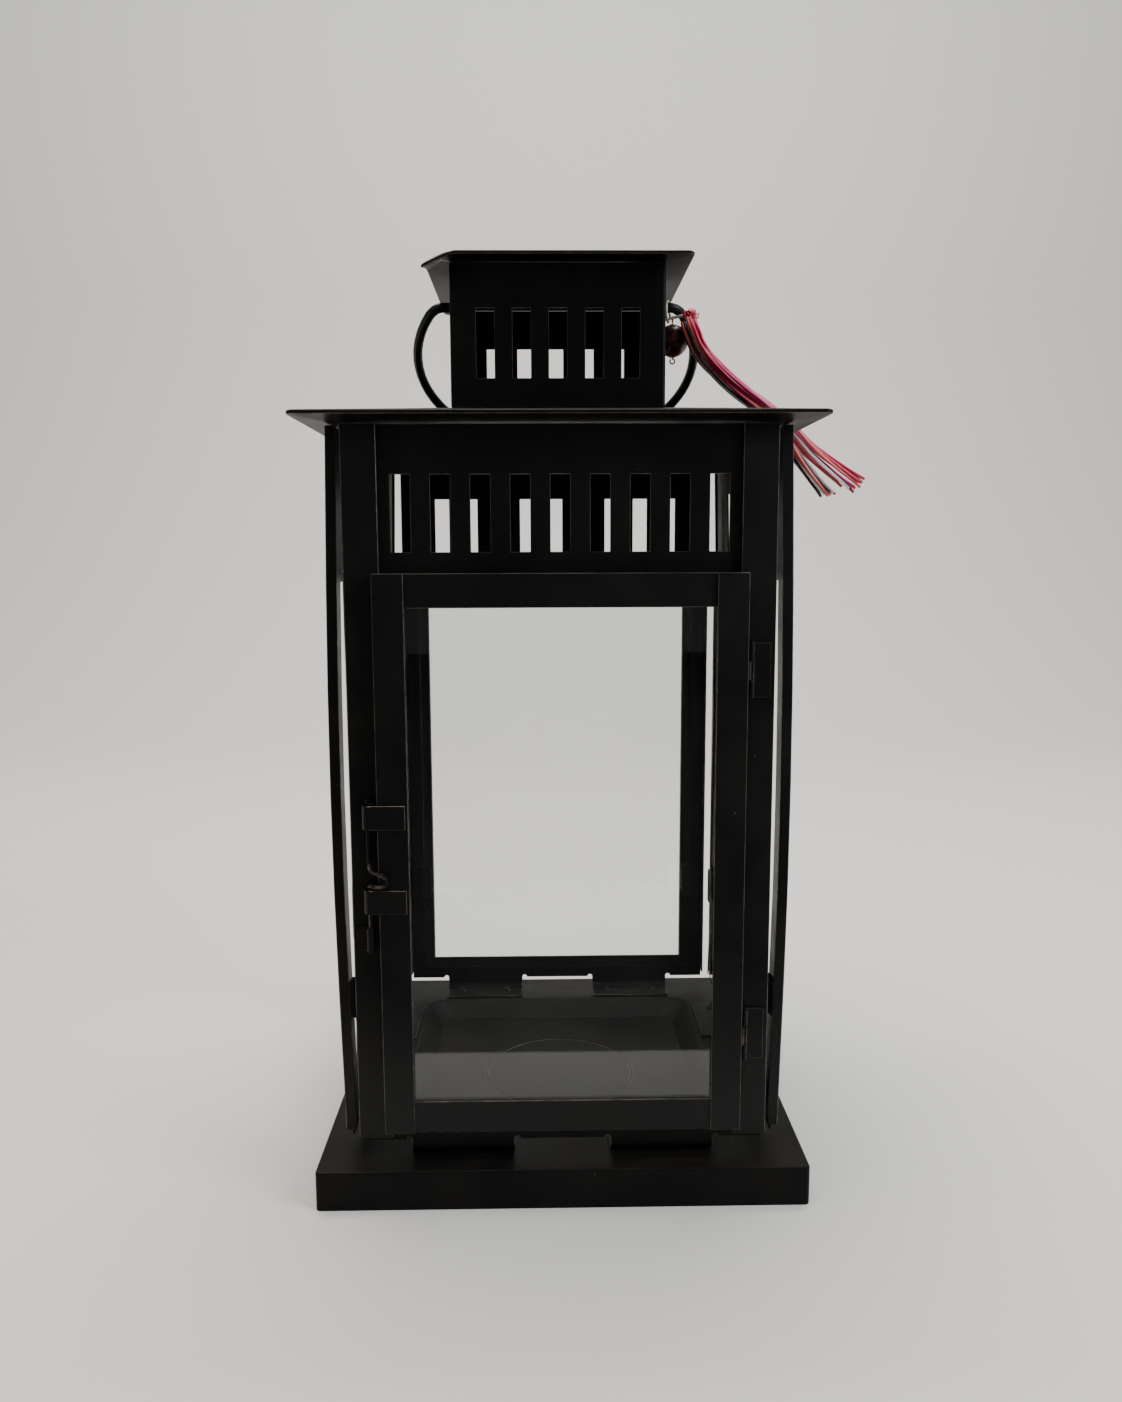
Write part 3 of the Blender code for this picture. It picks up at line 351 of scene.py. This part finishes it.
def node_tree(name, sockets):
    """An empty geometry tree with its named inputs, as (name, kind, default value)."""
    tree = bpy.data.node_groups.new(name, "GeometryNodeTree")
    tree.interface.new_socket("Geometry", in_out="INPUT", socket_type="NodeSocketGeometry")
    for label, kind, value in sockets:
        socket = tree.interface.new_socket(label, in_out="INPUT", socket_type="NodeSocket" + kind)
        if value is not None:
            socket.default_value = value
    tree.interface.new_socket("Geometry", in_out="OUTPUT", socket_type="NodeSocketGeometry")
    return tree, tree.nodes.new("NodeGroupInput"), tree.nodes.new("NodeGroupOutput")


def node(tree, kind, inputs=None, **settings):
    """Add a node, give it its settings, and join or fill its inputs."""
    made = tree.nodes.new(kind)
    for key, value in settings.items():
        setattr(made, key, value)
    for key, value in (inputs or {}).items():
        if isinstance(value, bpy.types.NodeSocket):
            tree.links.new(value, made.inputs[key])
        else:
            made.inputs[key].default_value = value
    return made


def grown(name, source, tree, values):
    """The plain mesh that a tree makes from a mesh or a curve."""
    holder = bpy.data.objects.new(name, source)
    bpy.context.scene.collection.objects.link(holder)
    modifier = holder.modifiers.new("tree", "NODES")
    modifier.node_group = tree
    for item in tree.interface.items_tree:
        if item.in_out == "INPUT" and item.name in values:
            modifier[item.identifier] = values[item.name]
    bpy.context.view_layer.update()
    graph = bpy.context.evaluated_depsgraph_get()
    mesh = bpy.data.meshes.new_from_object(holder.evaluated_get(graph))
    mesh.name = name
    holder.modifiers.remove(modifier)
    bpy.data.objects.remove(holder, do_unlink=True)
    return mesh


RIVET_RIM_RADIUS = 1.75 * MM
RIVET_RIM_THICKNESS = 0.55 * MM
RIVET_SINK = 0.15 * MM
RIVET_PLACES = (31.5 * MM, 60.5 * MM)
RIVET_FROM_BEND = 5.6 * MM
SHANK_SCALE = (0.72, 0.72, 0.22)
TAB_SHEET = 1.0 * MM

rivet_tree, given, result = node_tree("rivet", [
    ("Rim radius", "Float", RIVET_RIM_RADIUS), ("Rim thickness", "Float", RIVET_RIM_THICKNESS),
    ("Sink", "Float", RIVET_SINK), ("Paint", "Material", None)])
rim_path = node(rivet_tree, "GeometryNodeCurvePrimitiveCircle", {
    "Resolution": 28, "Radius": given.outputs["Rim radius"]})
rim_profile = node(rivet_tree, "GeometryNodeCurvePrimitiveCircle", {
    "Resolution": 12, "Radius": given.outputs["Rim thickness"]})
rim = node(rivet_tree, "GeometryNodeCurveToMesh", {
    "Curve": rim_path.outputs["Curve"], "Profile Curve": rim_profile.outputs["Curve"]})
shank = node(rivet_tree, "GeometryNodeMeshUVSphere", {
    "Segments": 24, "Rings": 12, "Radius": given.outputs["Rim radius"]})
sunk = node(rivet_tree, "ShaderNodeMath", {0: given.outputs["Sink"], 1: -1.0}, operation="MULTIPLY")
sunk_at = node(rivet_tree, "ShaderNodeCombineXYZ", {"Z": sunk.outputs[0]})
shank_low = node(rivet_tree, "GeometryNodeTransform", {
    "Geometry": shank.outputs["Mesh"], "Translation": sunk_at.outputs[0], "Scale": SHANK_SCALE})
head = node(rivet_tree, "GeometryNodeJoinGeometry")
rivet_tree.links.new(rim.outputs["Mesh"], head.inputs[0])
rivet_tree.links.new(shank_low.outputs["Geometry"], head.inputs[0])
spots = node(rivet_tree, "GeometryNodeInstanceOnPoints", {
    "Points": given.outputs["Geometry"], "Instance": head.outputs["Geometry"]})
real = node(rivet_tree, "GeometryNodeRealizeInstances", {"Geometry": spots.outputs["Instances"]})
smooth = node(rivet_tree, "GeometryNodeSetShadeSmooth", {"Geometry": real.outputs["Geometry"]})
painted = node(rivet_tree, "GeometryNodeSetMaterial", {
    "Geometry": smooth.outputs["Geometry"], "Material": given.outputs["Paint"]})
rivet_tree.links.new(painted.outputs["Geometry"], result.inputs["Geometry"])

# The rivets' painted edge highlight and wear are a little stronger
rivet_paint = powder_coat("powder_coat_rivets", dust=0.3, wear_and_highlight=1.2)
wall_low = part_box("wall_front")[0]
rivet_y = wall_low[1] + RIVET_FROM_BEND
bm = bmesh.new()
for quarter in range(4):
    turn = Matrix.Rotation(math.radians(90 * quarter), 3, "Z")
    for hand in (-1, 1):
        for across in RIVET_PLACES:
            bm.verts.new(turn @ Vector((hand * across, rivet_y, wall_low[2] + TAB_SHEET)))
places = bpy.data.meshes.new("rivet_places")
bm.to_mesh(places)
bm.free()
rivets = grown("rivets", places, rivet_tree, {"Paint": rivet_paint})
new_piece("tab_rivets", rivets, rivet_paint)

# ---- posts ---------------------------------------------------------------------------------------
# Folded channels along both upright edges of each wall.

post_paint = powder_coat("powder_coat_posts", dust=0.35)
for post in ("front_left", "front_right", "right_front", "right_rear",
             "rear_right", "rear_left", "left_rear", "left_front"):
    dressed("post_" + post, post_paint)

# ---- panes ---------------------------------------------------------------------------------------
# Clear float glass behind three of the openings, each held by two thin folded clips.


GLASS_TINT = (0.97, 0.985, 0.975, 1)
GLASS_SHADOW_TINT = (0.94, 0.96, 0.95, 1)
GLASS_IOR = 1.50


def float_glass(name):
    s = Shader(name)
    film = s.spread(s.noise(9.0, 5.0, 1.2), 0.45, 0.80, 0.0, 0.02)
    glass = s.finish(Base_Color=GLASS_TINT, Roughness=film, IOR=GLASS_IOR, Transmission_Weight=1.0)
    clear = s.add("ShaderNodeBsdfTransparent", {"Color": GLASS_SHADOW_TINT})
    to_lamp = s.add("ShaderNodeLightPath").outputs["Is Shadow Ray"]
    pick = s.add("ShaderNodeMixShader", {0: to_lamp, 1: s.surface.outputs[0], 2: clear.outputs[0]})
    s.tree.links.new(pick.outputs[0], s.tree.nodes["Material Output"].inputs["Surface"])
    return glass


pane_glass = float_glass("float_glass")
clip_paint = powder_coat("powder_coat_clips", dust=0.3)
for side in SIDES[1:]:
    dressed("glass_" + side, pane_glass, edge=0.25)
    for letter in "ab":
        dressed("pane_clip_%s_%s" % (side, letter), clip_paint, edge=0.08)

# ---- door ----------------------------------------------------------------------------------------
# A folded frame of two stiles and two rails round its own pane.

door_paint = powder_coat("powder_coat_door", dust=0.5)
for part in ("door_stile_left", "door_stile_right", "door_rail_bottom", "door_rail_top"):
    dressed(part, door_paint, body="door")
dressed("door_glass", float_glass("door_float_glass"), "door", edge=0.25)
for letter in "ab":
    dressed("door_clip_" + letter, clip_paint, body="door", edge=0.08)

# ---- hinges --------------------------------------------------------------------------------------
# Two small butt hinges with rolled knuckles and a headed steel pin.

# The hinges' painted edge highlight and wear are stronger
hinge_paint = powder_coat("powder_coat_hinges", dust=0.2, wear_and_highlight=1.3)
for height in ("lower", "upper"):
    dressed("hinge_leaf_post_" + height, hinge_paint, edge=0.2)
    dressed("hinge_pin_" + height, hinge_paint, edge=0.08)
    dressed("hinge_leaf_door_" + height, hinge_paint, body="door", edge=0.2)

# ---- latch ---------------------------------------------------------------------------------------
# A wire bolt slides in two strap guides on the stile and drops into a rolled barrel on the post.

# The latch's painted edge highlight and wear are stronger still
latch_paint = powder_coat("powder_coat_latch", dust=0.2, wear_and_highlight=1.6)
for height in ("lower", "upper"):
    dressed("latch_strap_" + height, latch_paint, body="door", edge=0.2)
dressed("latch_catch", latch_paint, edge=0.2)
dressed("latch_bolt", latch_paint, "bolt", edge=0.15)

# ---- roof, chimney and cap -----------------------------------------------------------------------
# A low hipped roof with a collar, a punched chimney set on the collar, and a hipped cap, knocked down
# at its front left corner.

roof_paint = powder_coat("powder_coat_roof", dust=0.7, gloss=0.06)
for part in ("roof", "chimney", "cap"):
    dressed(part, roof_paint)

# ---- bail ----------------------------------------------------------------------------------------
# A round wire handle, pivoted in the chimney's sides and laid back on the roof.

dressed("bail_handle", powder_coat("powder_coat_bail", dust=0.2), body="bail", edge=0.3)

# ---- tassel's wires ------------------------------------------------------------------------------
# A split ring coiled twice from fine wire hangs on the bail's right boss.  An oval link of bright
# wire joins it to the knot, and the bead hangs from the link on a brass wire with an eye at each end.

# The share of a cord's length that keeps its lay, before the end begins to open
FIRM_SHARE = 0.93

wire_tree, given, result = node_tree("laid cord", [
    ("Ply radius", "Float", 0.5 * MM), ("Lay radius", "Float", 0.0), ("Plies", "Int", 1),
    ("Turns", "Float", 0.0), ("Open end", "Float", 0.0), ("Uneven end", "Float", 0.0),
    ("Point spacing", "Float", 0.5 * MM), ("Sides", "Int", 10), ("Seed", "Int", 1),
    ("Thread", "Material", None)])
rounded = node(wire_tree, "GeometryNodeCurveSplineType", {
    "Curve": given.outputs["Geometry"]}, spline_type="CATMULL_ROM")
even = node(wire_tree, "GeometryNodeResampleCurve", {
    "Curve": rounded.outputs["Curve"], "Length": given.outputs["Point spacing"]}, mode="LENGTH")
copies = node(wire_tree, "GeometryNodeDuplicateElements", {
    "Geometry": even.outputs["Curve"], "Amount": given.outputs["Plies"]}, domain="SPLINE")
number = copies.outputs["Duplicate Index"]
along = node(wire_tree, "GeometryNodeSplineParameter")


def worked(operation, first, second):
    return node(wire_tree, "ShaderNodeMath", {0: first, 1: second}, operation=operation).outputs[0]


def stretched(operation, vector, amount):
    scaled = node(wire_tree, "ShaderNodeVectorMath", {0: vector, "Scale": amount}, operation=operation)
    return scaled.outputs[0]


phase = worked("DIVIDE", number, given.outputs["Plies"])
wound_by = worked("ADD", worked("MULTIPLY", along.outputs["Factor"], given.outputs["Turns"]), phase)
angle = worked("MULTIPLY", wound_by, 2 * math.pi)
past_firm = worked("SUBTRACT", along.outputs["Factor"], FIRM_SHARE)
near_end = worked("MAXIMUM", worked("MULTIPLY", past_firm, 14.3), 0.0)
opened = worked("MULTIPLY", worked("MULTIPLY", near_end, near_end), given.outputs["Open end"])
lay = worked("MULTIPLY", given.outputs["Lay radius"], worked("ADD", opened, 1.0))
normal = node(wire_tree, "GeometryNodeInputNormal").outputs[0]
tangent = node(wire_tree, "GeometryNodeInputTangent").outputs[0]
across = node(wire_tree, "ShaderNodeVectorMath", {0: tangent, 1: normal},
              operation="CROSS_PRODUCT").outputs[0]
chance = node(wire_tree, "FunctionNodeRandomValue", {
    "ID": number, "Seed": given.outputs["Seed"], 2: -1.0, 3: 1.0}, data_type="FLOAT").outputs[1]
reach = worked("MULTIPLY", worked("MULTIPLY", chance, near_end), given.outputs["Uneven end"])
sideways = stretched("SCALE", normal, worked("MULTIPLY", worked("COSINE", angle, 0.0), lay))
upways = stretched("SCALE", across, worked("MULTIPLY", worked("SINE", angle, 0.0), lay))
onward = stretched("SCALE", tangent, reach)
shift = node(wire_tree, "ShaderNodeVectorMath", {0: sideways, 1: upways}, operation="ADD").outputs[0]
shift = node(wire_tree, "ShaderNodeVectorMath", {0: shift, 1: onward}, operation="ADD").outputs[0]
laid_out = node(wire_tree, "GeometryNodeSetPosition", {
    "Geometry": copies.outputs["Geometry"], "Offset": shift})
kept = laid_out.outputs["Geometry"]
for label, field in (("ply", number), ("along", along.outputs["Length"])):
    kept = node(wire_tree, "GeometryNodeStoreNamedAttribute", {
        "Geometry": kept, "Name": label, "Value": field}, data_type="FLOAT", domain="POINT").outputs[0]
section = node(wire_tree, "GeometryNodeCurvePrimitiveCircle", {
    "Resolution": given.outputs["Sides"], "Radius": given.outputs["Ply radius"]})
section_share = node(wire_tree, "GeometryNodeSplineParameter")
section_kept = node(wire_tree, "GeometryNodeStoreNamedAttribute", {
    "Geometry": section.outputs["Curve"], "Name": "around", "Value": section_share.outputs["Factor"]},
    data_type="FLOAT", domain="POINT")
tube = node(wire_tree, "GeometryNodeCurveToMesh", {
    "Curve": kept, "Profile Curve": section_kept.outputs[0], "Fill Caps": True})
whole = node(wire_tree, "GeometryNodeRealizeInstances", {"Geometry": tube.outputs["Mesh"]})
soft = node(wire_tree, "GeometryNodeSetShadeSmooth", {"Geometry": whole.outputs["Geometry"]})
coloured = node(wire_tree, "GeometryNodeSetMaterial", {
    "Geometry": soft.outputs["Geometry"], "Material": given.outputs["Thread"]})
wire_tree.links.new(coloured.outputs["Geometry"], result.inputs["Geometry"])


def laid(name, routes, finish, closed=False, **values):
    """A mesh of wires or threads along one or more routes of points."""
    curve = bpy.data.curves.new(name, "CURVE")
    curve.dimensions = "3D"
    for route in routes:
        spline = curve.splines.new("POLY")
        spline.points.add(len(route) - 1)
        for point, at in zip(spline.points, route):
            point.co = (*at, 1.0)
        spline.use_cyclic_u = closed
    named = {key.replace("_", " "): value for key, value in values.items()}
    return grown(name, curve, wire_tree, {**named, "Thread": finish})


def drawn_wire(name, colour, stain, smoothest=0.14):
    """Plated wire: die lines, tarnish in patches, a little handling haze."""
    s = Shader(name)
    patch = s.noise(420.0, 4.0, 0.6)
    fine = s.noise(2600.0, 2.0)
    shade = s.mix(s.spread(patch, 0.46, 0.70), colour, stain)
    rough = s.math("ADD", s.spread(patch, 0.35, 0.70, smoothest, smoothest + 0.22),
                   s.spread(fine, 0.3, 0.7, 0.0, 0.06))
    return s.finish(Base_Color=shade, Metallic=0.55, Roughness=rough,
                    Normal=s.bump(fine, 0.15, 0.00003))


nickel = drawn_wire("nickel_plate", (0.92, 0.90, 0.87, 1), (0.60, 0.56, 0.50, 1), 0.20)
pale_brass = drawn_wire("pale_brass", (0.92, 0.82, 0.62, 1), (0.55, 0.42, 0.24, 1), 0.26)
old_brass = drawn_wire("old_brass", (0.60, 0.42, 0.18, 1), (0.16, 0.09, 0.04, 1), 0.26)

RING_WIRE = 0.36 * MM
RING_PITCH = 0.74 * MM
RING_TURN = math.radians(-15.0)
RING_STEPS = 96
ring_low, ring_high = (Vector(corner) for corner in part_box("tassel_split_ring"))
ring_at = (ring_low + ring_high) / 2
ring_radius = (ring_high.z - ring_low.z) / 2 - 0.65 * MM
ring_axis = Vector((math.cos(RING_TURN), math.sin(RING_TURN), 0.0))
ring_side = Vector((-math.sin(RING_TURN), math.cos(RING_TURN), 0.0))
coil = []
for step in range(RING_STEPS + 1):
    round_by = 4 * math.pi * step / RING_STEPS
    at = ring_at + ring_side * ring_radius * math.cos(round_by)
    at = at + Vector((0, 0, ring_radius * math.sin(round_by)))
    coil.append(at + ring_axis * RING_PITCH * (step / RING_STEPS - 0.5))
ring_mesh = laid("split_ring_coil", [coil], pale_brass, Ply_radius=RING_WIRE,
                 Point_spacing=0.3 * MM, Sides=12)
split_ring = new_piece("split_ring_coil", ring_mesh, pale_brass, "lantern",
                       ("tassel_split_ring",))
link = dressed("tassel_link", nickel, edge=0)
bead_wire = dressed("tassel_bead_wire", old_brass, edge=0)

# ---- bead ----------------------------------------------------------------------------------------
# A turned wooden bead under thick maroon lacquer, bored through, with a small brass cup at each end
# of the bore.


LACQUER_DEEP = (0.020, 0.0035, 0.003, 1)
LACQUER_RED = (0.115, 0.012, 0.010, 1)
LACQUER_SMOKE = (0.012, 0.005, 0.004, 1)


def lacquer(name):
    """Maroon lacquer, streaked and clouded."""
    s = Shader(name)
    streak = s.noise(150.0, 5.0, 2.2)
    cloud = s.noise(60.0, 2.0, 0.5)
    shade = s.mix(s.spread(streak, 0.44, 0.62), LACQUER_DEEP, LACQUER_RED)
    shade = s.mix(s.spread(cloud, 0.52, 0.66), shade, LACQUER_SMOKE)
    rough = s.spread(streak, 0.35, 0.70, 0.26, 0.42)
    return s.finish(Base_Color=shade, Roughness=rough, Coat_Weight=0.25, Coat_Roughness=0.20,
                    Normal=s.bump(cloud, 0.12, 0.0003))


BORE = 0.75 * MM
CUP_RADIUS = 2.1 * MM
CUP_DEPTH = 0.55 * MM
BALL_STEPS = 18
bead_low, bead_high = (Vector(corner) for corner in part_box("tassel_bead"))
bead_at = (bead_low + bead_high) / 2
bead_radius = (bead_high.x - bead_low.x) / 2


def turned(name, outline, at, steps=56):
    """Turn a closed outline of (radius, height) points round an upright axis."""
    bm = bmesh.new()
    rings = []
    for i in range(steps):
        round_by = 2 * math.pi * i / steps
        rings.append([bm.verts.new(at + Vector((r * math.cos(round_by), r * math.sin(round_by), z)))
                      for r, z in outline])
    for i in range(steps):
        this, after = rings[i], rings[(i + 1) % steps]
        for j in range(len(outline)):
            k = (j + 1) % len(outline)
            bm.faces.new((this[j], after[j], after[k], this[k])).smooth = True
    bmesh.ops.recalc_face_normals(bm, faces=bm.faces)
    mesh = bpy.data.meshes.new(name)
    bm.to_mesh(mesh)
    bm.free()
    mesh.set_sharp_from_angle(angle=math.radians(50.0))
    return mesh


bore_angle = math.acos(BORE / bead_radius)
ball = []
for step in range(2 * BALL_STEPS + 1):
    lift = bore_angle * (1 - step / BALL_STEPS)
    ball.append((bead_radius * math.cos(lift), bead_radius * math.sin(lift)))
maroon = lacquer("maroon_lacquer")
bead = new_piece("bead_turned", turned("bead_turned", ball, bead_at), maroon, "lantern",
                 ("tassel_bead",))
for hand, place_name in ((1, "upper"), (-1, "lower")):
    sink = hand * math.sqrt(bead_radius ** 2 - CUP_RADIUS ** 2)
    rim = [(BORE, sink + hand * CUP_DEPTH), (0.6 * CUP_RADIUS, sink + hand * 0.9 * CUP_DEPTH),
           (CUP_RADIUS, sink + hand * 0.1 * CUP_DEPTH), (CUP_RADIUS, sink - hand * 0.2 * MM),
           (BORE, sink - hand * 0.2 * MM)]
    cup = turned("bead_cup_" + place_name, rim, bead_at, 36)
    new_piece("bead_cup_" + place_name, cup, old_brass)

# ---- knot and strands ----------------------------------------------------------------------------
# Nine limp cords of glossy rayon, each laid loosely from three coloured threads, are gathered in one
# round wound knot.  They hang down beside the roof, pass its eave, and end cut and a little open.

CRIMSON = (0.52, 0.009, 0.050, 1)
MAGENTA = (0.44, 0.010, 0.140, 1)
CORAL = (0.84, 0.120, 0.110, 1)
PINK = (0.84, 0.22, 0.32, 1)
WHITE = (0.93, 0.91, 0.88, 1)
INK = (0.012, 0.011, 0.014, 1)
# Painted shade between the thread's fibres
PAINTED_SHADE_BETWEEN_FIBRES = (0.03, 0.004, 0.010, 1)
FADED = (0.85, 0.62, 0.62, 1)


def rayon(name, colours):
    """Satin thread, one colour for each ply: fine fibres along it with painted shade between them, a
    soft sheen, slight fading.
    """
    s = Shader(name)

    def kept(label):
        return s.add("ShaderNodeAttribute", attribute_name=label).outputs["Fac"]

    shade = colours[0]
    for i, colour in enumerate(colours[1:], start=1):
        shade = s.mix(s.math("GREATER_THAN", kept("ply"), i - 0.5), shade, colour)
    fibre_place = s.add("ShaderNodeCombineXYZ", {
        0: s.math("MULTIPLY", kept("around"), 9.0), 1: s.math("MULTIPLY", kept("along"), 160.0),
        2: s.math("MULTIPLY", kept("ply"), 5.0)}).outputs[0]
    fibre = s.noise(1.6, 3.0, 0.0, fibre_place)
    # Painted shade: the fibre pattern darkened where the fibres part
    shade = s.mix(s.spread(fibre, 0.35, 0.62, 0.0, 0.25), shade, PAINTED_SHADE_BETWEEN_FIBRES)
    faded = s.spread(s.noise(90.0, 2.0), 0.45, 0.75, 0.0, 0.14)
    shade = s.mix(faded, shade, FADED)
    rough = s.spread(fibre, 0.3, 0.7, 0.22, 0.40)
    return s.finish(Base_Color=shade, Roughness=rough, Specular_IOR_Level=0.5, Sheen_Weight=0.10,
                    Sheen_Roughness=0.35, Normal=s.bump(fibre, 0.45, 0.00012))


KNOT = Vector((68.6, -4.6, 414.9)) * MM
ROUTE = [
    (66.4, -6.5, 409.3), (67.3, -8.6, 405.8), (68.7, -9.9, 402.3), (70.1, -10.4, 398.7),
    (72.3, -10.3, 395.3), (75.0, -9.7, 391.9), (78.3, -9.2, 388.5), (81.9, -8.5, 385.2),
    (85.8, -7.6, 381.9), (89.9, -6.7, 378.7), (94.3, -5.7, 375.6), (98.9, -4.6, 372.6),
    (103.6, -3.5, 369.6), (108.2, -2.4, 366.3), (112.6, -1.4, 362.8), (116.4, -0.5, 359.3),
    (119.8, 0.3, 355.8), (123.0, 0.9, 351.8), (126.4, 1.3, 347.8), (130.4, 1.6, 344.0),
    (134.8, 1.8, 340.2), (139.4, 1.9, 336.5), (144.3, 2.0, 332.9),
]
STRAND_STEP = 2.75 * MM
BUNDLE_TWIST = math.radians(40.0)
SPREAD_FROM = 14
SPREAD_POWER = 1.3
THREAD_RADIUS = 0.78 * MM
THREAD_LAY = 0.74 * MM
STRAND_TURNS = 1.1

# Each strand: its slot, its three threads, its place in the bundle, and how far its end lies from
# the route's, in millimetres
STRANDS = [
    ("crimson_cord", (CORAL, CRIMSON, INK), (-1.0, -1.0), (-2.1, -3.5, -7.7)),
    ("white_cord", (WHITE, CRIMSON, MAGENTA), (0.0, -1.0), (9.0, -2.6, -3.6)),
    ("crimson_cord", (MAGENTA, PINK, CRIMSON), (1.0, -1.0), (14.9, 0.4, 0.8)),
    ("black_cord", (INK, CRIMSON, WHITE), (-1.0, 0.0), (-6.1, -1.6, -6.9)),
    ("pink_cord", (PINK, CRIMSON, WHITE), (0.0, 0.0), (-0.3, 0.0, -6.4)),
    ("crimson_cord", (CRIMSON, MAGENTA, CORAL), (1.0, 0.0), (11.4, 0.6, -4.6)),
    ("coral_cord", (CORAL, MAGENTA, CRIMSON), (0.0, -2.0), (13.6, -2.6, -2.0)),
    ("white_cord", (WHITE, INK, CRIMSON), (0.0, 1.0), (-4.0, 1.9, -5.6)),
    ("crimson_cord", (CRIMSON, CORAL, MAGENTA), (1.0, 1.0), (6.2, 4.2, -1.6)),
]


def strand_points(place_in_bundle, end):
    """One strand's own route: beside the middle of the bundle, which turns as it goes, then apart."""
    points = []
    last = len(ROUTE) - 1
    for i, middle in enumerate(ROUTE):
        before, after = ROUTE[max(i - 1, 0)], ROUTE[min(i + 1, last)]
        ahead = (Vector(after) - Vector(before)).normalized()
        sideways = ahead.cross(Vector((0.0, 1.0, 0.0))).normalized()
        upward = sideways.cross(ahead)
        across, up = Matrix.Rotation(BUNDLE_TWIST * i / last, 2) @ Vector(place_in_bundle)
        apart = max(0.0, (i - SPREAD_FROM) / (last - SPREAD_FROM)) ** SPREAD_POWER
        beside = (sideways * across + upward * up) * STRAND_STEP
        points.append(Vector(middle) * MM + beside * (1.0 - apart) + Vector(end) * MM * apart)
    return points


KNOT_RADIUS = 2.55 * MM
KNOT_THREAD = 0.78 * MM
KNOT_LANE = 1.72 * KNOT_THREAD
KNOT_STEPS = 24
KNOT_BANDS = (((1, 0, 0), (0, 1, 0), (0, 0, 1)), ((0, 1, 0), (0, 0, 1), (1, 0, 0)),
              ((0, 0, 1), (1, 0, 0), (0, 1, 0)))
knot_turn = Matrix.Rotation(math.radians(35.0), 3, "X") @ Matrix.Rotation(math.radians(20.0), 3, "Y")
windings = []
for band, (first, second, axis) in enumerate(KNOT_BANDS):
    for lane in (-1, 0, 1):
        off = lane * KNOT_LANE
        size = math.sqrt((KNOT_RADIUS * (1.0 - 0.05 * band)) ** 2 - off ** 2)
        loop = []
        for step in range(KNOT_STEPS):
            round_by = 2 * math.pi * step / KNOT_STEPS
            at = Vector(first) * size * math.cos(round_by)
            at = at + Vector(second) * size * math.sin(round_by)
            weave = 1.0 + 0.07 * math.cos(2 * round_by + math.pi * band / 2)
            loop.append(KNOT + knot_turn @ (at * weave + Vector(axis) * off))
        windings.append(loop)
knot_thread = rayon("rayon_knot_crimson", (CRIMSON, CRIMSON, CRIMSON))
knot_white = rayon("rayon_knot_white", (WHITE, WHITE, WHITE))
for name, chosen, finish in (("knot_windings", windings[:5] + windings[6:], knot_thread),
                             ("knot_white_winding", windings[5:6], knot_white)):
    wound = laid(name, chosen, finish, closed=True, Ply_radius=KNOT_THREAD, Point_spacing=0.45 * MM)
    stands_for = ("tassel_knot",) if name == "knot_windings" else ()
    new_piece(name, wound, finish, "lantern", stands_for)
core_outline = [(radius * MM, height * MM) for radius, height in (
    (0.02, 2.0), (1.2, 1.7), (2.0, 0.5), (2.0, -0.5), (1.2, -1.7), (0.02, -2.0))]
knot_core = turned("knot_core", core_outline, KNOT, KNOT_STEPS)
new_piece("knot_core", knot_core, knot_thread)

# Thread loops that hitch the knot to the end of the link
HITCH_HALF_LENGTH = 1.7 * MM
HITCH_HALF_HEIGHT = 1.25 * MM
HITCH_OUT = 1.2 * MM
HITCH_LANE = 1.5 * MM
HITCH_STEPS = 20
HITCH_THREAD = 0.66 * MM
link_low, link_high = (Vector(corner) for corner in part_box("tassel_link"))
hitch_at = Vector((link_high.x - 0.5 * MM, KNOT.y + 0.6 * MM,
                   (link_low.z + link_high.z) / 2 + 0.9 * MM))
loops = []
for lane in (-HITCH_LANE, 0.0, HITCH_LANE):
    loop = []
    for step in range(HITCH_STEPS):
        round_by = 2 * math.pi * step / HITCH_STEPS
        loop.append(hitch_at + Vector((HITCH_HALF_LENGTH * math.cos(round_by) + HITCH_OUT, lane,
                                       HITCH_HALF_HEIGHT * math.sin(round_by))))
    loops.append(loop)
hitch_mesh = laid("knot_hitch", loops, knot_thread, closed=True, Ply_radius=HITCH_THREAD,
                  Point_spacing=0.4 * MM)
hitch = new_piece("knot_hitch", hitch_mesh, knot_thread)

for count, (slot, colours, place_in_bundle, end) in enumerate(STRANDS, start=1):
    points = strand_points(place_in_bundle, end)
    finish = rayon("rayon_strand_%d" % count, colours)
    mesh = laid("strand_%d" % count, [points], finish, Ply_radius=THREAD_RADIUS, Lay_radius=THREAD_LAY,
                Plies=3, Turns=STRAND_TURNS, Open_end=0.9, Uneven_end=1.6 * MM, Seed=count,
                Point_spacing=0.8 * MM, Sides=8)
    strand = new_piece("strand_%d" % count, mesh, finish, "lantern", ("tassel_strand_%d" % count,))
